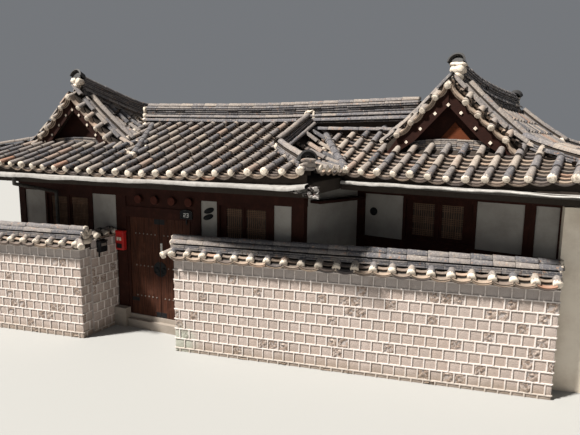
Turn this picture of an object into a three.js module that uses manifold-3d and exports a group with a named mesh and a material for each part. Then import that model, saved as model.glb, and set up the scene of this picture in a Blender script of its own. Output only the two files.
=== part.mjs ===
// A one-storey Korean tile-roofed timber house (hanok) with its granite street walls.
// Units are millimetres, X runs to the right along the house front, Y into the house, Z up.
// X = 0 is the centre of the gate, Y = 0 the face of the front posts, Z = 0 the lowest ground.
import * as THREE from 'three';
import { mergeVertices } from 'three/addons/utils/BufferGeometryUtils.js';
import Module from 'manifold-3d';

const wasm = await Module();
wasm.setup();

// Driving dimensions

const FIT = 0.3;                 // gap between pieces that are cut against each other
const FAR = 20000;               // longer than anything in the house
const OVER = 1;                  // a cut reaches this far past the faces it opens
const FLOOR = 180;               // top of the stone plinth
const POST = 200;                // side of a timber post, and so the thickness of a wall
const RECESS = 30;               // plaster lies this far behind the timber face
const LINING = 30;               // inner plaster that runs on behind rails
const HEAD = 2900;               // underside of the head beam
const RAIL = [1700, 1800];       // sill rail below the windows
const OVERHANG = 1050;           // wall face to eave edge
const ROOF_T = 200;              // tiles, clay and boards together
const BOARD = 40;                // pediment boards

// main block: its front lies on Y = 0 and its ridge runs along X
const MAIN = { eaveZ: 3400, slope: 0.35, ridgeY: 2000, depth: 4000, right: 3300, corner: 250, rearTo: 4400,
  back: 5300 };
const MAIN_RIGHT = { verge: 2640, eave: 3833, eaveZ: 3440, foot: 300 };
const MAIN_WINDOW = [1430, 2685];
const MAIN_BENDS = [0, 0.33, 0.67, 1];   // shares of the way from the foot to the ridge
const SLANT_END = [[3920, 1750], [3700, 1750]];
const PLINTH_END = [[4300, 4000], [3850, 1572]];

// left wing: its ridge runs along Y and a hip-and-gable end faces the street
const LEFT = { centre: -2537, half: 1630, depth: 5100, eaveZ: 3400, slope: 0.39, foot: 3950, footHalf: 1345,
  verge: 1300, pediment: 1530, ridgeWidth: 300, ridgeHeight: 470, hips: [[-1, 0], [-1, 1], [1, 1]],
  apex: [[0, 5160], [0.13, 5010], [0.26, 4870], [0.39, 4730], [0.52, 4630], [0.72, 4590], [0.86, 4650],
    [1, 4780]] };
const LEFT_WINDOW = [-3307, -1837];

// right wing: the same form, turned clockwise towards the street
const WING_TURN = -12;
const WING_AT = [3833, 500];
const RIGHT = { centre: 1670, half: 1880, depth: 4830, eaveZ: 3420, slope: 0.6, foot: 4040, footHalf: 1180,
  verge: 800, pediment: 1020, ridgeWidth: 300, ridgeHeight: 450, hips: [[1, 0], [-1, 1], [1, 1]],
  apex: [[0, 5160], [0.13, 5110], [0.24, 5010], [0.4, 4950], [0.62, 4910], [1, 4910]] };
const RIGHT_HEAD = 3070;
const RIGHT_RAIL = [1980, 2200];
const RIGHT_WINDOW = [795, 2197];
const RIGHT_POST = [2989, 3163];
const RIGHT_CORNER = 180;        // width of the first post
const RIGHT_TRIM = 30;           // board at the far end of the front
const LINK = { from: -1400, length: 2100 };

// gate in the middle of the front
const GATE = { postLeft: [-1147, -872], postRight: [880, 1050], jamb: 799, leafEdge: 787, joint: 4, sill: 275,
  lintel: [2455, 2680], front: 20, thick: 60, under: 10, pinInset: 16, pin: 15, logs: [-491, -69, 370, 790],
  log: 90, logLength: 150, logOut: 60, logIn: 40, step: [-820, 880], stepOut: 100 };
const RING = { x: 91, z: 1360, plate: 84, thick: 6, wire: 8, out: 24, ring: 70, staple: 10 };
const CALL_BOX = [-1100, -880, -110, 0, 1710, 2140];
const NUMBER_PLATE = [560, 860, -20, 0, 2500, 2680];
const BASE_STONE = [-1160, -830, -160, 0, 0, 420];

// street walls stand on a line turned anticlockwise from the house front
const STREET_TURN = 8.4;
const STREET_AT = [-1167, -1050];
const STREET = { from: 2118, length: 6700, left: 4200, thick: 300, top: 1833, leftTop: 1877 };
const COPING = { half: [[-270, 0], [-270, 70], [-90, 250], [-90, 400], [-50, 470]], end: 60 };
const RETURN = { left: -1417, right: 900, thick: 250, top: 2020, coping: 130, edge: 50, out: 60 };
const PARTY = { at: [7547, 641], length: 1300, thick: 250, top: 3100 };
const METER_BOX = [-1167, -1040, -600, -390, 1740, 1990];

// roof trim
const SAG = 45;                  // a gable slope sinks this much half way down
const SINK = 150;                // ridge bands start this far inside the roof and are then cut off by it
const SEAM = { left: -1155, right: 3333, rightBack: 4400 };
const MAIN_RIDGE = { from: -2000, middle: 2000, to: 5000, width: 300, height: 500 };
const VERGE = { inset: 260, width: 200, height: 200, reach: 0.97, lift: 30 };
const HIP = { width: 220, height: 260, end: 120, turn: Math.SQRT1_2, start: 60, lift: 30, bend: 40,
  drop: 20 };

// fittings
const CASING = 60;               // window frame
const JAMB_POST = 150;
const SIDE_WINDOW = 1400;        // windows on the sides away from the street
const UNIT = { frame: [10, 130], sash: [50, 90], stile: [30, 110], half: 25 };   // front and back
const GUTTER = { radius: 65, sheet: 5, below: 40, wingFrom: 60, steps: 8 };
const DOWNPIPE = { x: -2850, radius: 38, neck: 3150, turn: 2900, gap: 60 };
const CANOPY = { from: 60, to: 1400, out: 250, z: 2960, thick: 50 };
const SIDES = { log: 16, plate: 24, wire: 8, pipe: 6, ball: [12, 8] };   // facets of round pieces

// Materials

const paint = (color, roughness, metalness = 0) => new THREE.MeshStandardMaterial({
  color, roughness, metalness,
});
const timber = paint(0x3a211a, 0.6);
const plaster = paint(0xd8d5cc, 0.9);
const tile = paint(0x6e6c68, 0.75);
const granite = paint(0xc9c1b4, 0.85);
const stone = paint(0xb3aa9c, 0.9);
const paper = paint(0x8c7f6c, 0.9);
const iron = paint(0x24262b, 0.5, 0.8);
const tin = paint(0xc8ccce, 0.35, 0.8);
const boards = paint(0x43231a, 0.65);
const red = paint(0xb01c1c, 0.4);
const render = paint(0xcdc3b2, 0.9);

// Helpers

const house = new THREE.Group();

function solidOf(geometry) {
  let g = geometry.clone();
  for (const key of Object.keys(g.attributes)) if (key !== 'position') g.deleteAttribute(key);
  g = mergeVertices(g, 1e-3);
  return new wasm.Manifold(new wasm.Mesh({
    numProp: 3,
    vertProperties: new Float32Array(g.attributes.position.array),
    triVerts: new Uint32Array(g.index.array),
  }));
}

function geometryOf(solid) {
  const m = solid.getMesh();
  const g = new THREE.BufferGeometry();
  g.setAttribute('position', new THREE.BufferAttribute(new Float32Array(m.vertProperties), 3));
  g.setIndex(new THREE.BufferAttribute(new Uint32Array(m.triVerts), 1));
  return g;
}

function add(name, solid, material) {
  const mesh = new THREE.Mesh(geometryOf(solid), material);
  mesh.name = name;
  house.add(mesh);
}

function box(x0, x1, y0, y1, z0, z1) {
  const g = new THREE.BoxGeometry(x1 - x0, y1 - y0, z1 - z0);
  g.translate((x0 + x1) / 2, (y0 + y1) / 2, (z0 + z1) / 2);
  return solidOf(g);
}

function outline(points) {
  return new THREE.Shape(points.map(([a, b]) => new THREE.Vector2(a, b)));
}

// plan outline in X and Y, standing from z0 to z1
function slab(points, z0, z1) {
  const g = new THREE.ExtrudeGeometry(outline(points), { depth: z1 - z0, bevelEnabled: false });
  g.translate(0, 0, z0);
  return solidOf(g);
}

// outline in Y and Z, running along X
function alongX(points, x0, x1) {
  const g = new THREE.ExtrudeGeometry(outline(points), { depth: x1 - x0, bevelEnabled: false });
  g.applyMatrix4(new THREE.Matrix4().set(0, 0, 1, x0, 1, 0, 0, 0, 0, 1, 0, 0, 0, 0, 0, 1));
  return solidOf(g);
}

// outline in X and Z, running along Y
function alongY(points, y0, y1) {
  const g = new THREE.ExtrudeGeometry(outline(points), { depth: y1 - y0, bevelEnabled: false });
  g.applyMatrix4(new THREE.Matrix4().set(1, 0, 0, 0, 0, 0, -1, y1, 0, 1, 0, 0, 0, 0, 0, 1));
  return solidOf(g);
}

// a skin drawn through rings of equally many points, closed at both ends
function loft(rings) {
  const n = rings[0].length;
  const at = rings.flat(2);
  const index = [];
  for (let r = 0; r + 1 < rings.length; r += 1) {
    for (let i = 0; i < n; i += 1) {
      const a = r * n + i;
      const b = r * n + (i + 1) % n;
      index.push(a, b, b + n, a, b + n, a + n);
    }
  }
  const ends = THREE.ShapeUtils.triangulateShape(flatten(rings[0]), []);
  const last = (rings.length - 1) * n;
  for (const [a, b, c] of ends) index.push(a, c, b, last + a, last + b, last + c);
  const g = new THREE.BufferGeometry();
  g.setAttribute('position', new THREE.Float32BufferAttribute(at, 3));
  g.setIndex(index);
  const solid = solidOf(g);
  if (solid.volume() > 0) return solid;
  g.setIndex(index.map((v, i) => index[i - (i % 3) + [0, 2, 1][i % 3]]));
  return solidOf(g);
}

// a ring drawn flat, on the two axes in which it is widest
function flatten(ring) {
  const along = (k) => ring.map((p) => p[k]);
  const spread = [0, 1, 2].map((k) => Math.max(...along(k)) - Math.min(...along(k)));
  const flat = spread.indexOf(Math.min(...spread));
  const [a, b] = [0, 1, 2].filter((k) => k !== flat);
  return ring.map((p) => new THREE.Vector2(p[a], p[b]));
}

const largest = (solid) => solid.decompose().sort((a, b) => b.volume() - a.volume())[0];
const join = (...solids) => wasm.Manifold.union(solids.flat());
// a piece with room for its neighbours' fit on every side
const grown = (solid) => join([[1, 0, 0], [-1, 0, 0], [0, 1, 0], [0, -1, 0], [0, 0, 1], [0, 0, -1]]
  .map((way) => solid.translate(way.map((k) => k * FIT))));
const inWing = (solid) => solid.rotate([0, 0, WING_TURN]).translate([...WING_AT, 0]);
const inStreet = (solid) => solid.rotate([0, 0, STREET_TURN]).translate([...STREET_AT, 0]);

// Roof

// a hip-and-gable wing whose ridge runs along Y, from its own front eave at Y = from
function wingRoof(w, from, low) {
  const span = w.depth + 2 * OVERHANG;
  const edge = w.half + OVERHANG;
  const mid = span / 2;
  const side = (w.foot - w.eaveZ) / (edge - w.footHalf);
  const fromFront = [[from, low], [from + span, low], [from + span, w.eaveZ],
    [from + mid, w.eaveZ + w.slope * mid], [from, w.eaveZ]];
  const fromSide = [[w.centre - edge, low], [w.centre + edge, low], [w.centre + edge, w.eaveZ],
    [w.centre, w.eaveZ + side * edge], [w.centre - edge, w.eaveZ]];
  const across = [w.centre - edge, w.centre + edge];
  const skirt = alongX(fromFront, ...across).intersect(alongY(fromSide, from, from + span));
  const rings = w.apex.map(([t, z]) => {
    const y = from + w.verge + t * (span - 2 * w.verge);
    const waist = (z + w.foot) / 2 - SAG;
    return [[-w.footHalf, low], [w.footHalf, low], [w.footHalf, w.foot], [w.footHalf / 2, waist], [0, z],
      [-w.footHalf / 2, waist], [-w.footHalf, w.foot]].map(([x, h]) => [w.centre + x, y, h]);
  });
  const porch = (deep) => {
    const front = box(...across, from - OVER, from + deep, low - ROOF_T, 2 * low);
    return join(front, front.translate([0, span - deep + OVER, 0]));
  };
  const gable = loft(rings);
  const under = drop(gable);
  const through = join(under, ...[-OVER, OVER].map((y) => under.translate([0, y, 0])));
  return {
    skirt,
    shell: join(skirt, gable),
    hollow: join(drop(skirt), under.subtract(porch(w.pediment))),
    air: through.intersect(porch(w.pediment + OVER)).subtract(skirt),
    boards: [0, 1].map((rear) => {
      const y = rear ? from + span - w.pediment - BOARD : from + w.pediment;
      return drop(under, FIT).intersect(box(...across, y, y + BOARD, low, 2 * low));
    }),
  };
}

const drop = (solid, by = ROOF_T) => solid.translate([0, 0, -by]);
const low = 3100;
const eaveFront = -OVERHANG;
const mainTop = (y) => MAIN.eaveZ + MAIN.slope * (y - eaveFront);
const ridgeY = MAIN.ridgeY;
const mainBack = 2 * ridgeY - eaveFront;

// the main block, whose right end turns the corner under a short descending ridge
function mainRoof() {
  const front = [[eaveFront, low], [ridgeY, low], [ridgeY, mainTop(ridgeY)], [eaveFront, MAIN.eaveZ]];
  const back = [[ridgeY, low], [mainBack, low], [mainBack, MAIN.eaveZ], [ridgeY, mainTop(ridgeY)]];
  const { verge, eave, eaveZ, foot } = MAIN_RIGHT;
  const cornerSlope = (mainTop(foot) - eaveZ) / (eave - verge);
  const end = [[verge, low], [eave, low], [eave, eaveZ], [verge, eaveZ + cornerSlope * (eave - verge)]];
  const corner = alongX(front, verge, eave).intersect(alongY(end, eaveFront, foot));
  const steps = MAIN_BENDS.map((t) => foot + t * (ridgeY - foot));
  const ring = (y) => [[verge, y, low], [eave, y, low], [eave, y, eaveZ], [verge, y, mainTop(y)]];
  const side = loft(steps.map(ring));
  return join(alongX(front, LEFT.centre, verge), alongX(back, LEFT.centre, MAIN.back), corner, side);
}

// the slope between the corner and the right wing, which climbs to the main ridge
const linkTop = RIGHT.eaveZ + RIGHT.slope * LINK.length;
const linkFront = [[0, low], [LINK.length, low], [LINK.length, linkTop], [0, RIGHT.eaveZ]];
const linkSlope = inWing(alongX(linkFront, LINK.from, RIGHT.centre));
const linkRoof = linkSlope.intersect(box(-FAR, FAR, -FAR, ridgeY, 0, FAR));

const leftWing = wingRoof(LEFT, eaveFront, low);
const rightWing = wingRoof(RIGHT, 0, low);
const mainShape = mainRoof();
const air = join(leftWing.air.subtract(mainShape), inWing(rightWing.air).subtract(linkRoof));
const cover = join(mainShape, linkRoof, leftWing.shell, inWing(rightWing.shell)).subtract(air);
const attic = join(drop(mainShape), drop(linkRoof), leftWing.hollow, inWing(rightWing.hollow));
const roof = cover.subtract(attic);
const leftOf = slab([[-FAR, -FAR], [SEAM.left, -FAR], [SEAM.left, FAR], [-FAR, FAR]], 0, FAR);
const rightOf = slab([[SEAM.right, -FAR], [FAR, -FAR], [FAR, FAR], [SEAM.rightBack, FAR]], 0, FAR);
const shifted = (solid, x) => solid.translate([x, 0, 0]);
add('roof_left_wing', roof.intersect(leftOf), tile);
add('roof_main', roof.subtract(shifted(leftOf, FIT)).subtract(rightOf), tile);
add('roof_right_wing', roof.intersect(shifted(rightOf, FIT)), tile);

// pediments close the triangles under the verges
const eaves = join(mainShape, linkRoof, leftWing.skirt, inWing(rightWing.skirt));
const seat = eaves.translate([0, 0, FIT]);
const places = [[leftWing, 'left_wing', (solid) => solid], [rightWing, 'right_wing', inWing]];
for (const [wing, name, place] of places) {
  add(`pediment_${name}_front`, largest(place(wing.boards[0]).subtract(seat)), timber);
  add(`pediment_${name}_rear`, largest(place(wing.boards[1]).subtract(seat)), timber);
}

// Ridges

// an upright band that follows points on the roof; it is sunk below them and then cut by the roof
function band(points, width, height) {
  return loft(points.map(([x, y, z, nx, ny]) => {
    const dx = nx * width / 2;
    const dy = ny * width / 2;
    return [[x - dx, y - dy, z - SINK], [x + dx, y + dy, z - SINK], [x + dx, y + dy, z + height],
      [x - dx, y - dy, z + height]];
  }));
}

// main ridge of a wing, the four descending ridges along its verges and its hips
function wingRidges(w, from) {
  const span = w.depth + 2 * OVERHANG;
  const edge = w.half + OVERHANG;
  const length = span - 2 * w.verge;
  const solids = [band(w.apex.map(([t, z]) => [w.centre, from + w.verge + t * length, z, 1, 0]),
    w.ridgeWidth, w.ridgeHeight)];
  for (const rear of [0, 1]) {
    const [, top] = w.apex[rear ? w.apex.length - 1 : 0];
    const y = from + (rear ? span - w.verge - VERGE.inset : w.verge + VERGE.inset);
    for (const side of [-1, 1]) {
      const at = (u, z) => [w.centre + side * u * w.footHalf, y, z, 0, 1];
      const line = [at(0, top), at(0.5, (top + w.foot) / 2 - SAG), at(VERGE.reach, w.foot + VERGE.lift)];
      solids.push(band(line, VERGE.width, VERGE.height));
    }
  }
  for (const [side, rear] of w.hips) {
    const y = (v) => (rear ? from + span - v : from + v);
    const nx = HIP.turn * (rear ? -side : side);
    const at = (x, v, z) => [w.centre + side * x, y(v), z, nx, HIP.turn];
    const start = at(w.footHalf - HIP.start, w.verge + VERGE.inset, w.foot);
    solids.push(band([start, at(edge - HIP.end, HIP.end, w.eaveZ + HIP.lift)], HIP.width, HIP.height));
  }
  return join(...solids);
}

const tiles = grown(cover);
const clear = (solid) => solid.subtract(tiles).subtract(air.translate([0, 0, FIT]));
const rightRidges = largest(clear(inWing(wingRidges(RIGHT, 0))));
const leftRidges = largest(clear(wingRidges(LEFT, eaveFront)));
const ridgeFoot = mainTop(ridgeY);
const mainLine = [MAIN_RIDGE.from, MAIN_RIDGE.middle, MAIN_RIDGE.to].map((x) => [x, ridgeY, ridgeFoot, 0, 1]);
const mainRidge = band(mainLine, MAIN_RIDGE.width, MAIN_RIDGE.height);
const { verge: vergeX, eave: eaveX, foot: fallFoot } = MAIN_RIGHT;
const fall = [[vergeX, ridgeY, ridgeFoot, 1, 0], [vergeX, fallFoot - HIP.start, mainTop(fallFoot), 1, 0]];
const descending = band(fall, HIP.width, HIP.height);
const hipTop = [vergeX - HIP.bend, fallFoot + HIP.start, mainTop(fallFoot) - HIP.drop, HIP.turn, HIP.turn];
const hipEnd = [eaveX - HIP.end, eaveFront + HIP.end, MAIN_RIGHT.eaveZ + HIP.lift, HIP.turn, HIP.turn];
const cornerHip = band([hipTop, hipEnd], HIP.width, HIP.height);
add('ridges_left_wing', leftRidges, tile);
add('ridges_right_wing', rightRidges, tile);
add('ridges_main', largest(clear(join(mainRidge, descending, cornerHip))), tile);

// Walls

const underRoof = join(drop(eaves, ROOF_T + FIT), box(-FAR, FAR, -FAR, FAR, -FAR, low - ROOF_T / 2));
const trim = (solid) => largest(solid.intersect(underRoof));

// timber frame in a wall's own axes: x along it, outer face on y = 0
function frame(length, posts, head, rail) {
  const beam = box(0, length, 0, POST, head, 2 * low);
  const sill = box(0, length, 0, POST - LINING, rail[0], rail[1]);
  return join(beam, sill, ...posts.map(([a, b]) => box(a, b, 0, POST - LINING, FLOOR, head)));
}

// plaster between the posts, with window openings cut through
function infill(length, timbers, windows, head, rail) {
  const whole = box(0, length, RECESS, POST, FLOOR, head - FIT);
  const openings = windows.map(([a, b]) => box(a - FIT, b + FIT, -OVER, POST + OVER, rail[1], head));
  return whole.subtract(join(timbers, ...openings));
}

// a window unit: outer frame, two sashes and the papered lattice as one flat piece
function windowUnit([from, to], head, rail) {
  const [a, b] = [from + FIT, to - FIT];
  const [front, back] = UNIT.frame;
  const tall = [rail[1] + CASING, head - CASING];
  const outer = box(a, b, front, back, rail[1] + FIT, head - FIT);
  const hole = box(a + CASING, b - CASING, front - OVER, back + OVER, ...tall);
  const mid = (a + b) / 2;
  const sash = (x0, x1) => box(x0, x1, ...UNIT.sash, ...tall);
  const stile = box(mid - UNIT.half, mid + UNIT.half, ...UNIT.stile, ...tall);
  return join(outer.subtract(hole), sash(a + CASING, mid), sash(mid, b - CASING), stile);
}

// moves a wall from its own axes so that x = 0 lies on (x, y) and turns it
const stand = (solid, x, y, turn = 0) => solid.rotate([0, 0, turn]).translate([x, y, 0]);

const [leftX, rightX] = [LEFT.centre - LEFT.half, LEFT.centre + LEFT.half];
const [gateLeft, gateRight] = [GATE.postLeft[0], GATE.postRight[1]];

// street front, left of the gate
const leftFront = frame(gateLeft - leftX, [[0, POST]], HEAD, RAIL);
const leftFrontWindow = LEFT_WINDOW.map((x) => x - leftX);
add('frame_front_left', trim(stand(leftFront, leftX, 0)), timber);
const leftInfill = infill(gateLeft - leftX, grown(leftFront), [leftFrontWindow], HEAD, RAIL);
add('wall_front_left', stand(leftInfill, leftX, 0), plaster);
add('window_front_left', stand(windowUnit(leftFrontWindow, HEAD, RAIL), leftX, 0), paper);

// street front, right of the gate
const rightLength = MAIN.right - gateRight;
const rightFront = frame(rightLength, [[rightLength - MAIN.corner, rightLength]], HEAD, RAIL);
const rightFrontWindow = MAIN_WINDOW.map((x) => x - gateRight);
const rightInfill = infill(rightLength, grown(rightFront), [rightFrontWindow], HEAD, RAIL);
add('frame_front_right', trim(stand(rightFront, gateRight, 0)), timber);
add('wall_front_right', stand(rightInfill, gateRight, 0), plaster);
add('window_front_right', stand(windowUnit(rightFrontWindow, HEAD, RAIL), gateRight, 0), paper);

// street front of the right wing
const wingLeft = RIGHT.centre - RIGHT.half;
const wingRight = RIGHT.centre + RIGHT.half;
const wingBack = OVERHANG + RIGHT.depth;
const wingLength = wingRight - wingLeft;
const wingPost = RIGHT_POST.map((s) => s - wingLeft);
const wingPosts = [[0, RIGHT_CORNER], wingPost, [wingLength - RIGHT_TRIM, wingLength]];
const wingFront = frame(wingLength, wingPosts, RIGHT_HEAD, RIGHT_RAIL);
const wingWindow = RIGHT_WINDOW.map((s) => s - wingLeft);
const wingWall = infill(wingLength, grown(wingFront), [wingWindow], RIGHT_HEAD, RIGHT_RAIL);
add('frame_wing_front', trim(inWing(stand(wingFront, wingLeft, OVERHANG))), timber);
add('wall_wing_front', inWing(stand(wingWall, wingLeft, OVERHANG + FIT)), plaster);
const wingUnit = windowUnit(wingWindow, RIGHT_HEAD, RIGHT_RAIL);
add('window_wing_front', inWing(stand(wingUnit, wingLeft, OVERHANG + FIT)), paper);

// short slanting wall between the main block's corner post and the right wing
const wingBlock = grown(inWing(box(wingLeft, wingRight, OVERHANG, OVERHANG + POST, 0, 2 * low)));
const slantLine = [[MAIN.right - POST, POST + FIT], [MAIN.right, POST + FIT], ...SLANT_END];
const slant = slab(slantLine, FLOOR, 2 * low).subtract(wingBlock);
add('wall_slanting', trim(slant), plaster);

// hidden sides: posts stand proud of the plaster, one piece per wall
function framed(length, posts, windows, x, y, turn) {
  const timbers = frame(length, posts, HEAD, RAIL);
  return stand(join(timbers, infill(length, timbers, windows, HEAD, RAIL)), x, y, turn);
}

const mainRear = MAIN.depth;
const rearWindow = (length) => [length / 2 - SIDE_WINDOW / 2, length / 2 + SIDE_WINDOW / 2];
const cornerPosts = (length) => [[0, POST], [length - POST, length]];
const windowPosts = ([a, b]) => [[a - JAMB_POST, a], [b, b + JAMB_POST]];
const hidden = [
  ['left_side', LEFT.depth - 2 * POST, leftX, LEFT.depth - POST, -90, true, (s) => s],
  ['left_rear', 2 * LEFT.half, rightX, LEFT.depth, 180, true, (s) => s],
  ['left_yard', LEFT.depth - mainRear - POST - FIT, rightX, mainRear + FIT, 90, false, (s) => s],
  ['wing_side', RIGHT.depth - 2 * POST - 2 * FIT, wingRight, OVERHANG + POST + FIT, 90, true, inWing],
  ['wing_rear', wingLength, wingRight, wingBack, 180, true, inWing],
];
for (const [name, length, x, y, turn, lit, place] of hidden) {
  const window = rearWindow(length);
  const openings = lit ? [window] : [];
  const posts = cornerPosts(length).concat(openings.flatMap(windowPosts));
  add(`wall_${name}`, trim(place(framed(length, posts, openings, x, y, turn))), plaster);
  if (lit) add(`window_${name}`, place(stand(windowUnit(window, HEAD, RAIL), x, y, turn)), paper);
}

// the yard wall of the right wing starts where the rear wall of the main block ends
const turn = WING_TURN * Math.PI / 180;
const yardStart = (mainRear - POST - WING_AT[1] - wingLeft * Math.sin(turn)) / Math.cos(turn);
const yardLength = wingBack - POST - FIT - yardStart;
const yardPosts = cornerPosts(yardLength);
const wingYard = inWing(framed(yardLength, yardPosts, [], wingLeft, wingBack - POST - FIT, -90));
add('wall_wing_yard', trim(wingYard), plaster);
const rearLength = MAIN.rearTo - rightX + POST;
const rearOpening = rearWindow(rearLength);
const rearPosts = cornerPosts(rearLength).concat(windowPosts(rearOpening));
const rearWall = framed(rearLength, rearPosts, [rearOpening], MAIN.rearTo, mainRear, 180);
const wingInside = inWing(box(wingLeft - FIT, wingRight, 0, wingBack, 0, 2 * low));
add('wall_main_rear', trim(rearWall.subtract(wingInside)), plaster);
add('window_main_rear', stand(windowUnit(rearOpening, HEAD, RAIL), MAIN.rearTo, mainRear, 180), paper);

// stone plinth under everything, which is also the floor
const footprint = join(
  box(leftX, MAIN.right, 0, mainRear, 0, FLOOR), box(...GATE.step, -GATE.stepOut, OVER, 0, FLOOR),
  box(leftX, rightX, 0, LEFT.depth, 0, FLOOR), inWing(box(wingLeft, wingRight, OVERHANG, wingBack, 0, FLOOR)),
  slab([[MAIN.right, 0], [MAIN.right, mainRear], ...PLINTH_END], 0, FLOOR));
add('plinth', footprint, stone);

// Gate

// a round beam end over the gate, lying along Y
function beamEnd(x, z) {
  const g = new THREE.CylinderGeometry(GATE.log, GATE.log, GATE.logLength, SIDES.log);
  g.translate(x, GATE.logLength / 2 - GATE.logOut, z);
  return solidOf(g);
}

const [sillTop, lintelUnder] = [GATE.sill, GATE.lintel[0]];
const gatePosts = [GATE.postLeft, GATE.postRight].map(([a, b]) => box(a, b, 0, POST, FLOOR, HEAD));
const jambs = [[GATE.postLeft[1], -GATE.jamb], [GATE.jamb, GATE.postRight[0]]]
  .map(([a, b]) => box(a, b, GATE.front, POST - LINING, sillTop, lintelUnder));
const beams = [box(gateLeft, gateRight, 0, POST, ...GATE.lintel),
  box(gateLeft, gateRight, 0, POST, HEAD, 2 * low),
  box(gateLeft, gateRight, GATE.front, POST, GATE.lintel[1], HEAD)];
const beamEnds = GATE.logs.map((x) => beamEnd(x, HEAD - GATE.log + GATE.logIn));
add('gate_frame', trim(join(...gatePosts, ...jambs, ...beams, ...beamEnds)), timber);
add('gate_threshold', box(GATE.postLeft[1], GATE.postRight[0], 0, POST, FLOOR, sillTop), timber);

// each leaf turns on two pins, which stand on the threshold and reach the lintel
const pinX = GATE.leafEdge - GATE.pinInset;
const pinY = GATE.front + GATE.thick - GATE.pinInset;
function gateLeaf(side) {
  const [a, b] = side < 0 ? [-GATE.leafEdge, -GATE.joint] : [GATE.joint, GATE.leafEdge];
  const deep = [GATE.front, GATE.front + GATE.thick];
  const panel = box(a, b, ...deep, sillTop + GATE.under, lintelUnder - GATE.under);
  const pin = upright(GATE.pin, sillTop + FIT, lintelUnder - FIT).translate([side * pinX, pinY, 0]);
  return join(panel, pin);
}

function upright(radius, z0, z1) {
  const g = new THREE.CylinderGeometry(radius, radius, z1 - z0, SIDES.log);
  g.rotateX(Math.PI / 2);
  g.translate(0, 0, (z0 + z1) / 2);
  return solidOf(g);
}

// round iron plate with a hanging ring
function ringPlate(side) {
  const plate = new THREE.CylinderGeometry(RING.plate, RING.plate, RING.thick, SIDES.plate);
  plate.translate(0, -RING.thick / 2, 0);
  const staple = new THREE.BoxGeometry(RING.wire * 2, RING.out, RING.wire * 2);
  staple.translate(0, -RING.out / 2, RING.staple);
  const ring = new THREE.TorusGeometry(RING.ring, RING.wire, SIDES.wire, SIDES.plate);
  ring.rotateX(Math.PI / 2);
  ring.translate(0, -RING.out, RING.staple - RING.ring);
  return join(...[plate, staple, ring].map(solidOf)).translate([side * RING.x, GATE.front - FIT, RING.z]);
}

for (const [side, name] of [[-1, 'left'], [1, 'right']]) {
  add(`gate_leaf_${name}`, gateLeaf(side), boards);
  add(`ring_plate_${name}`, ringPlate(side), iron);
}

// Street walls

const { thick } = STREET;
const copingOutline = (z) => COPING.half.map(([y, h]) => [thick / 2 + y, z + h])
  .concat(COPING.half.toReversed().map(([y, h]) => [thick / 2 - y, z + h]));
const streetEnd = STREET.from + STREET.length;
add('street_wall_right', inStreet(box(STREET.from, streetEnd, 0, thick, 0, STREET.top)), granite);
add('street_wall_left', inStreet(box(-STREET.left, 0, 0, thick, 0, STREET.leftTop)), granite);
const rightCoping = inStreet(alongX(copingOutline(STREET.top + FIT), STREET.from - COPING.end, streetEnd));
add('coping_right', rightCoping.subtract(box(leftX, MAIN.right + FIT, -FIT, mainRear, 0, 2 * low)), tile);
add('coping_left', inStreet(alongX(copingOutline(STREET.leftTop + FIT), -STREET.left, COPING.end)), tile);

// the walls that lead from the street line back to the gate posts
const streetZone = join(inStreet(box(-FAR, FAR, -FAR, thick + FIT, -OVER, FAR)),
  inStreet(box(-FAR, FAR, -FAR, thick / 2 - COPING.half[0][0] + FIT, STREET.top - OVER, FAR)));
const returnTop = RETURN.top + RETURN.coping;
for (const [name, x] of [['left', RETURN.left], ['right', RETURN.right]]) {
  const wall = box(x, x + RETURN.thick, eaveFront, 0, 0, RETURN.top).subtract(streetZone);
  add(`return_wall_${name}`, largest(wall), granite);
  const middle = x + RETURN.thick / 2;
  const half = RETURN.thick / 2 + RETURN.out;
  const edge = RETURN.top + RETURN.edge;
  const roofed = alongY([[middle - half, RETURN.top + FIT], [middle + half, RETURN.top + FIT],
    [middle + half, edge], [middle, returnTop], [middle - half, edge]], eaveFront, -FIT);
  add(`return_coping_${name}`, roofed.subtract(streetZone), tile);
}

// rendered wall that carries the street line on past the right wing
const wingCorner = inWing(box(wingLeft, wingRight + FIT, OVERHANG - FIT, wingBack, 0, 2 * low));
const rendered = stand(box(0, PARTY.length, 0, PARTY.thick, 0, PARTY.top), ...PARTY.at, STREET_TURN);
add('rendered_wall', rendered.subtract(wingCorner), render);

// Fittings

// half-round gutter under an eave, with its back lip against the tiles
function gutter(x0, x1, y, z) {
  const turns = Array.from({ length: GUTTER.steps + 1 }, (_, k) => k * Math.PI / GUTTER.steps);
  const arc = (radius, angle) => [-Math.cos(angle) * radius, -Math.sin(angle) * radius];
  const section = [...turns.map((angle) => arc(GUTTER.radius, angle)),
    ...turns.toReversed().map((angle) => arc(GUTTER.radius - GUTTER.sheet, angle))];
  const centre = y - GUTTER.radius - FIT;
  return alongX(section.map(([a, b]) => [centre + a, z + b]), x0, x1);
}

const gutterZ = MAIN.eaveZ - GUTTER.below;
add('gutter_main', gutter(leftX - OVERHANG, MAIN_RIGHT.eave, eaveFront, gutterZ), tin);
add('gutter_wing', inWing(gutter(GUTTER.wingFrom, wingRight + OVERHANG, 0, RIGHT.eaveZ - GUTTER.below)), tin);

// round pipe through given points
function pipe(points, radius) {
  const path = new THREE.CurvePath();
  const at = points.map((p) => new THREE.Vector3(...p));
  for (let i = 0; i + 1 < at.length; i += 1) path.add(new THREE.LineCurve3(at[i], at[i + 1]));
  const round = new THREE.Shape();
  round.absarc(0, 0, radius, 0, 2 * Math.PI);
  return path.curves.map((line) => solidOf(new THREE.ExtrudeGeometry(round,
    { extrudePath: line, steps: 1, bevelEnabled: false, curveSegments: SIDES.pipe })));
}

const ball = (point, radius) => {
  const g = new THREE.SphereGeometry(radius, ...SIDES.ball);
  g.translate(...point);
  return solidOf(g);
};

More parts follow.
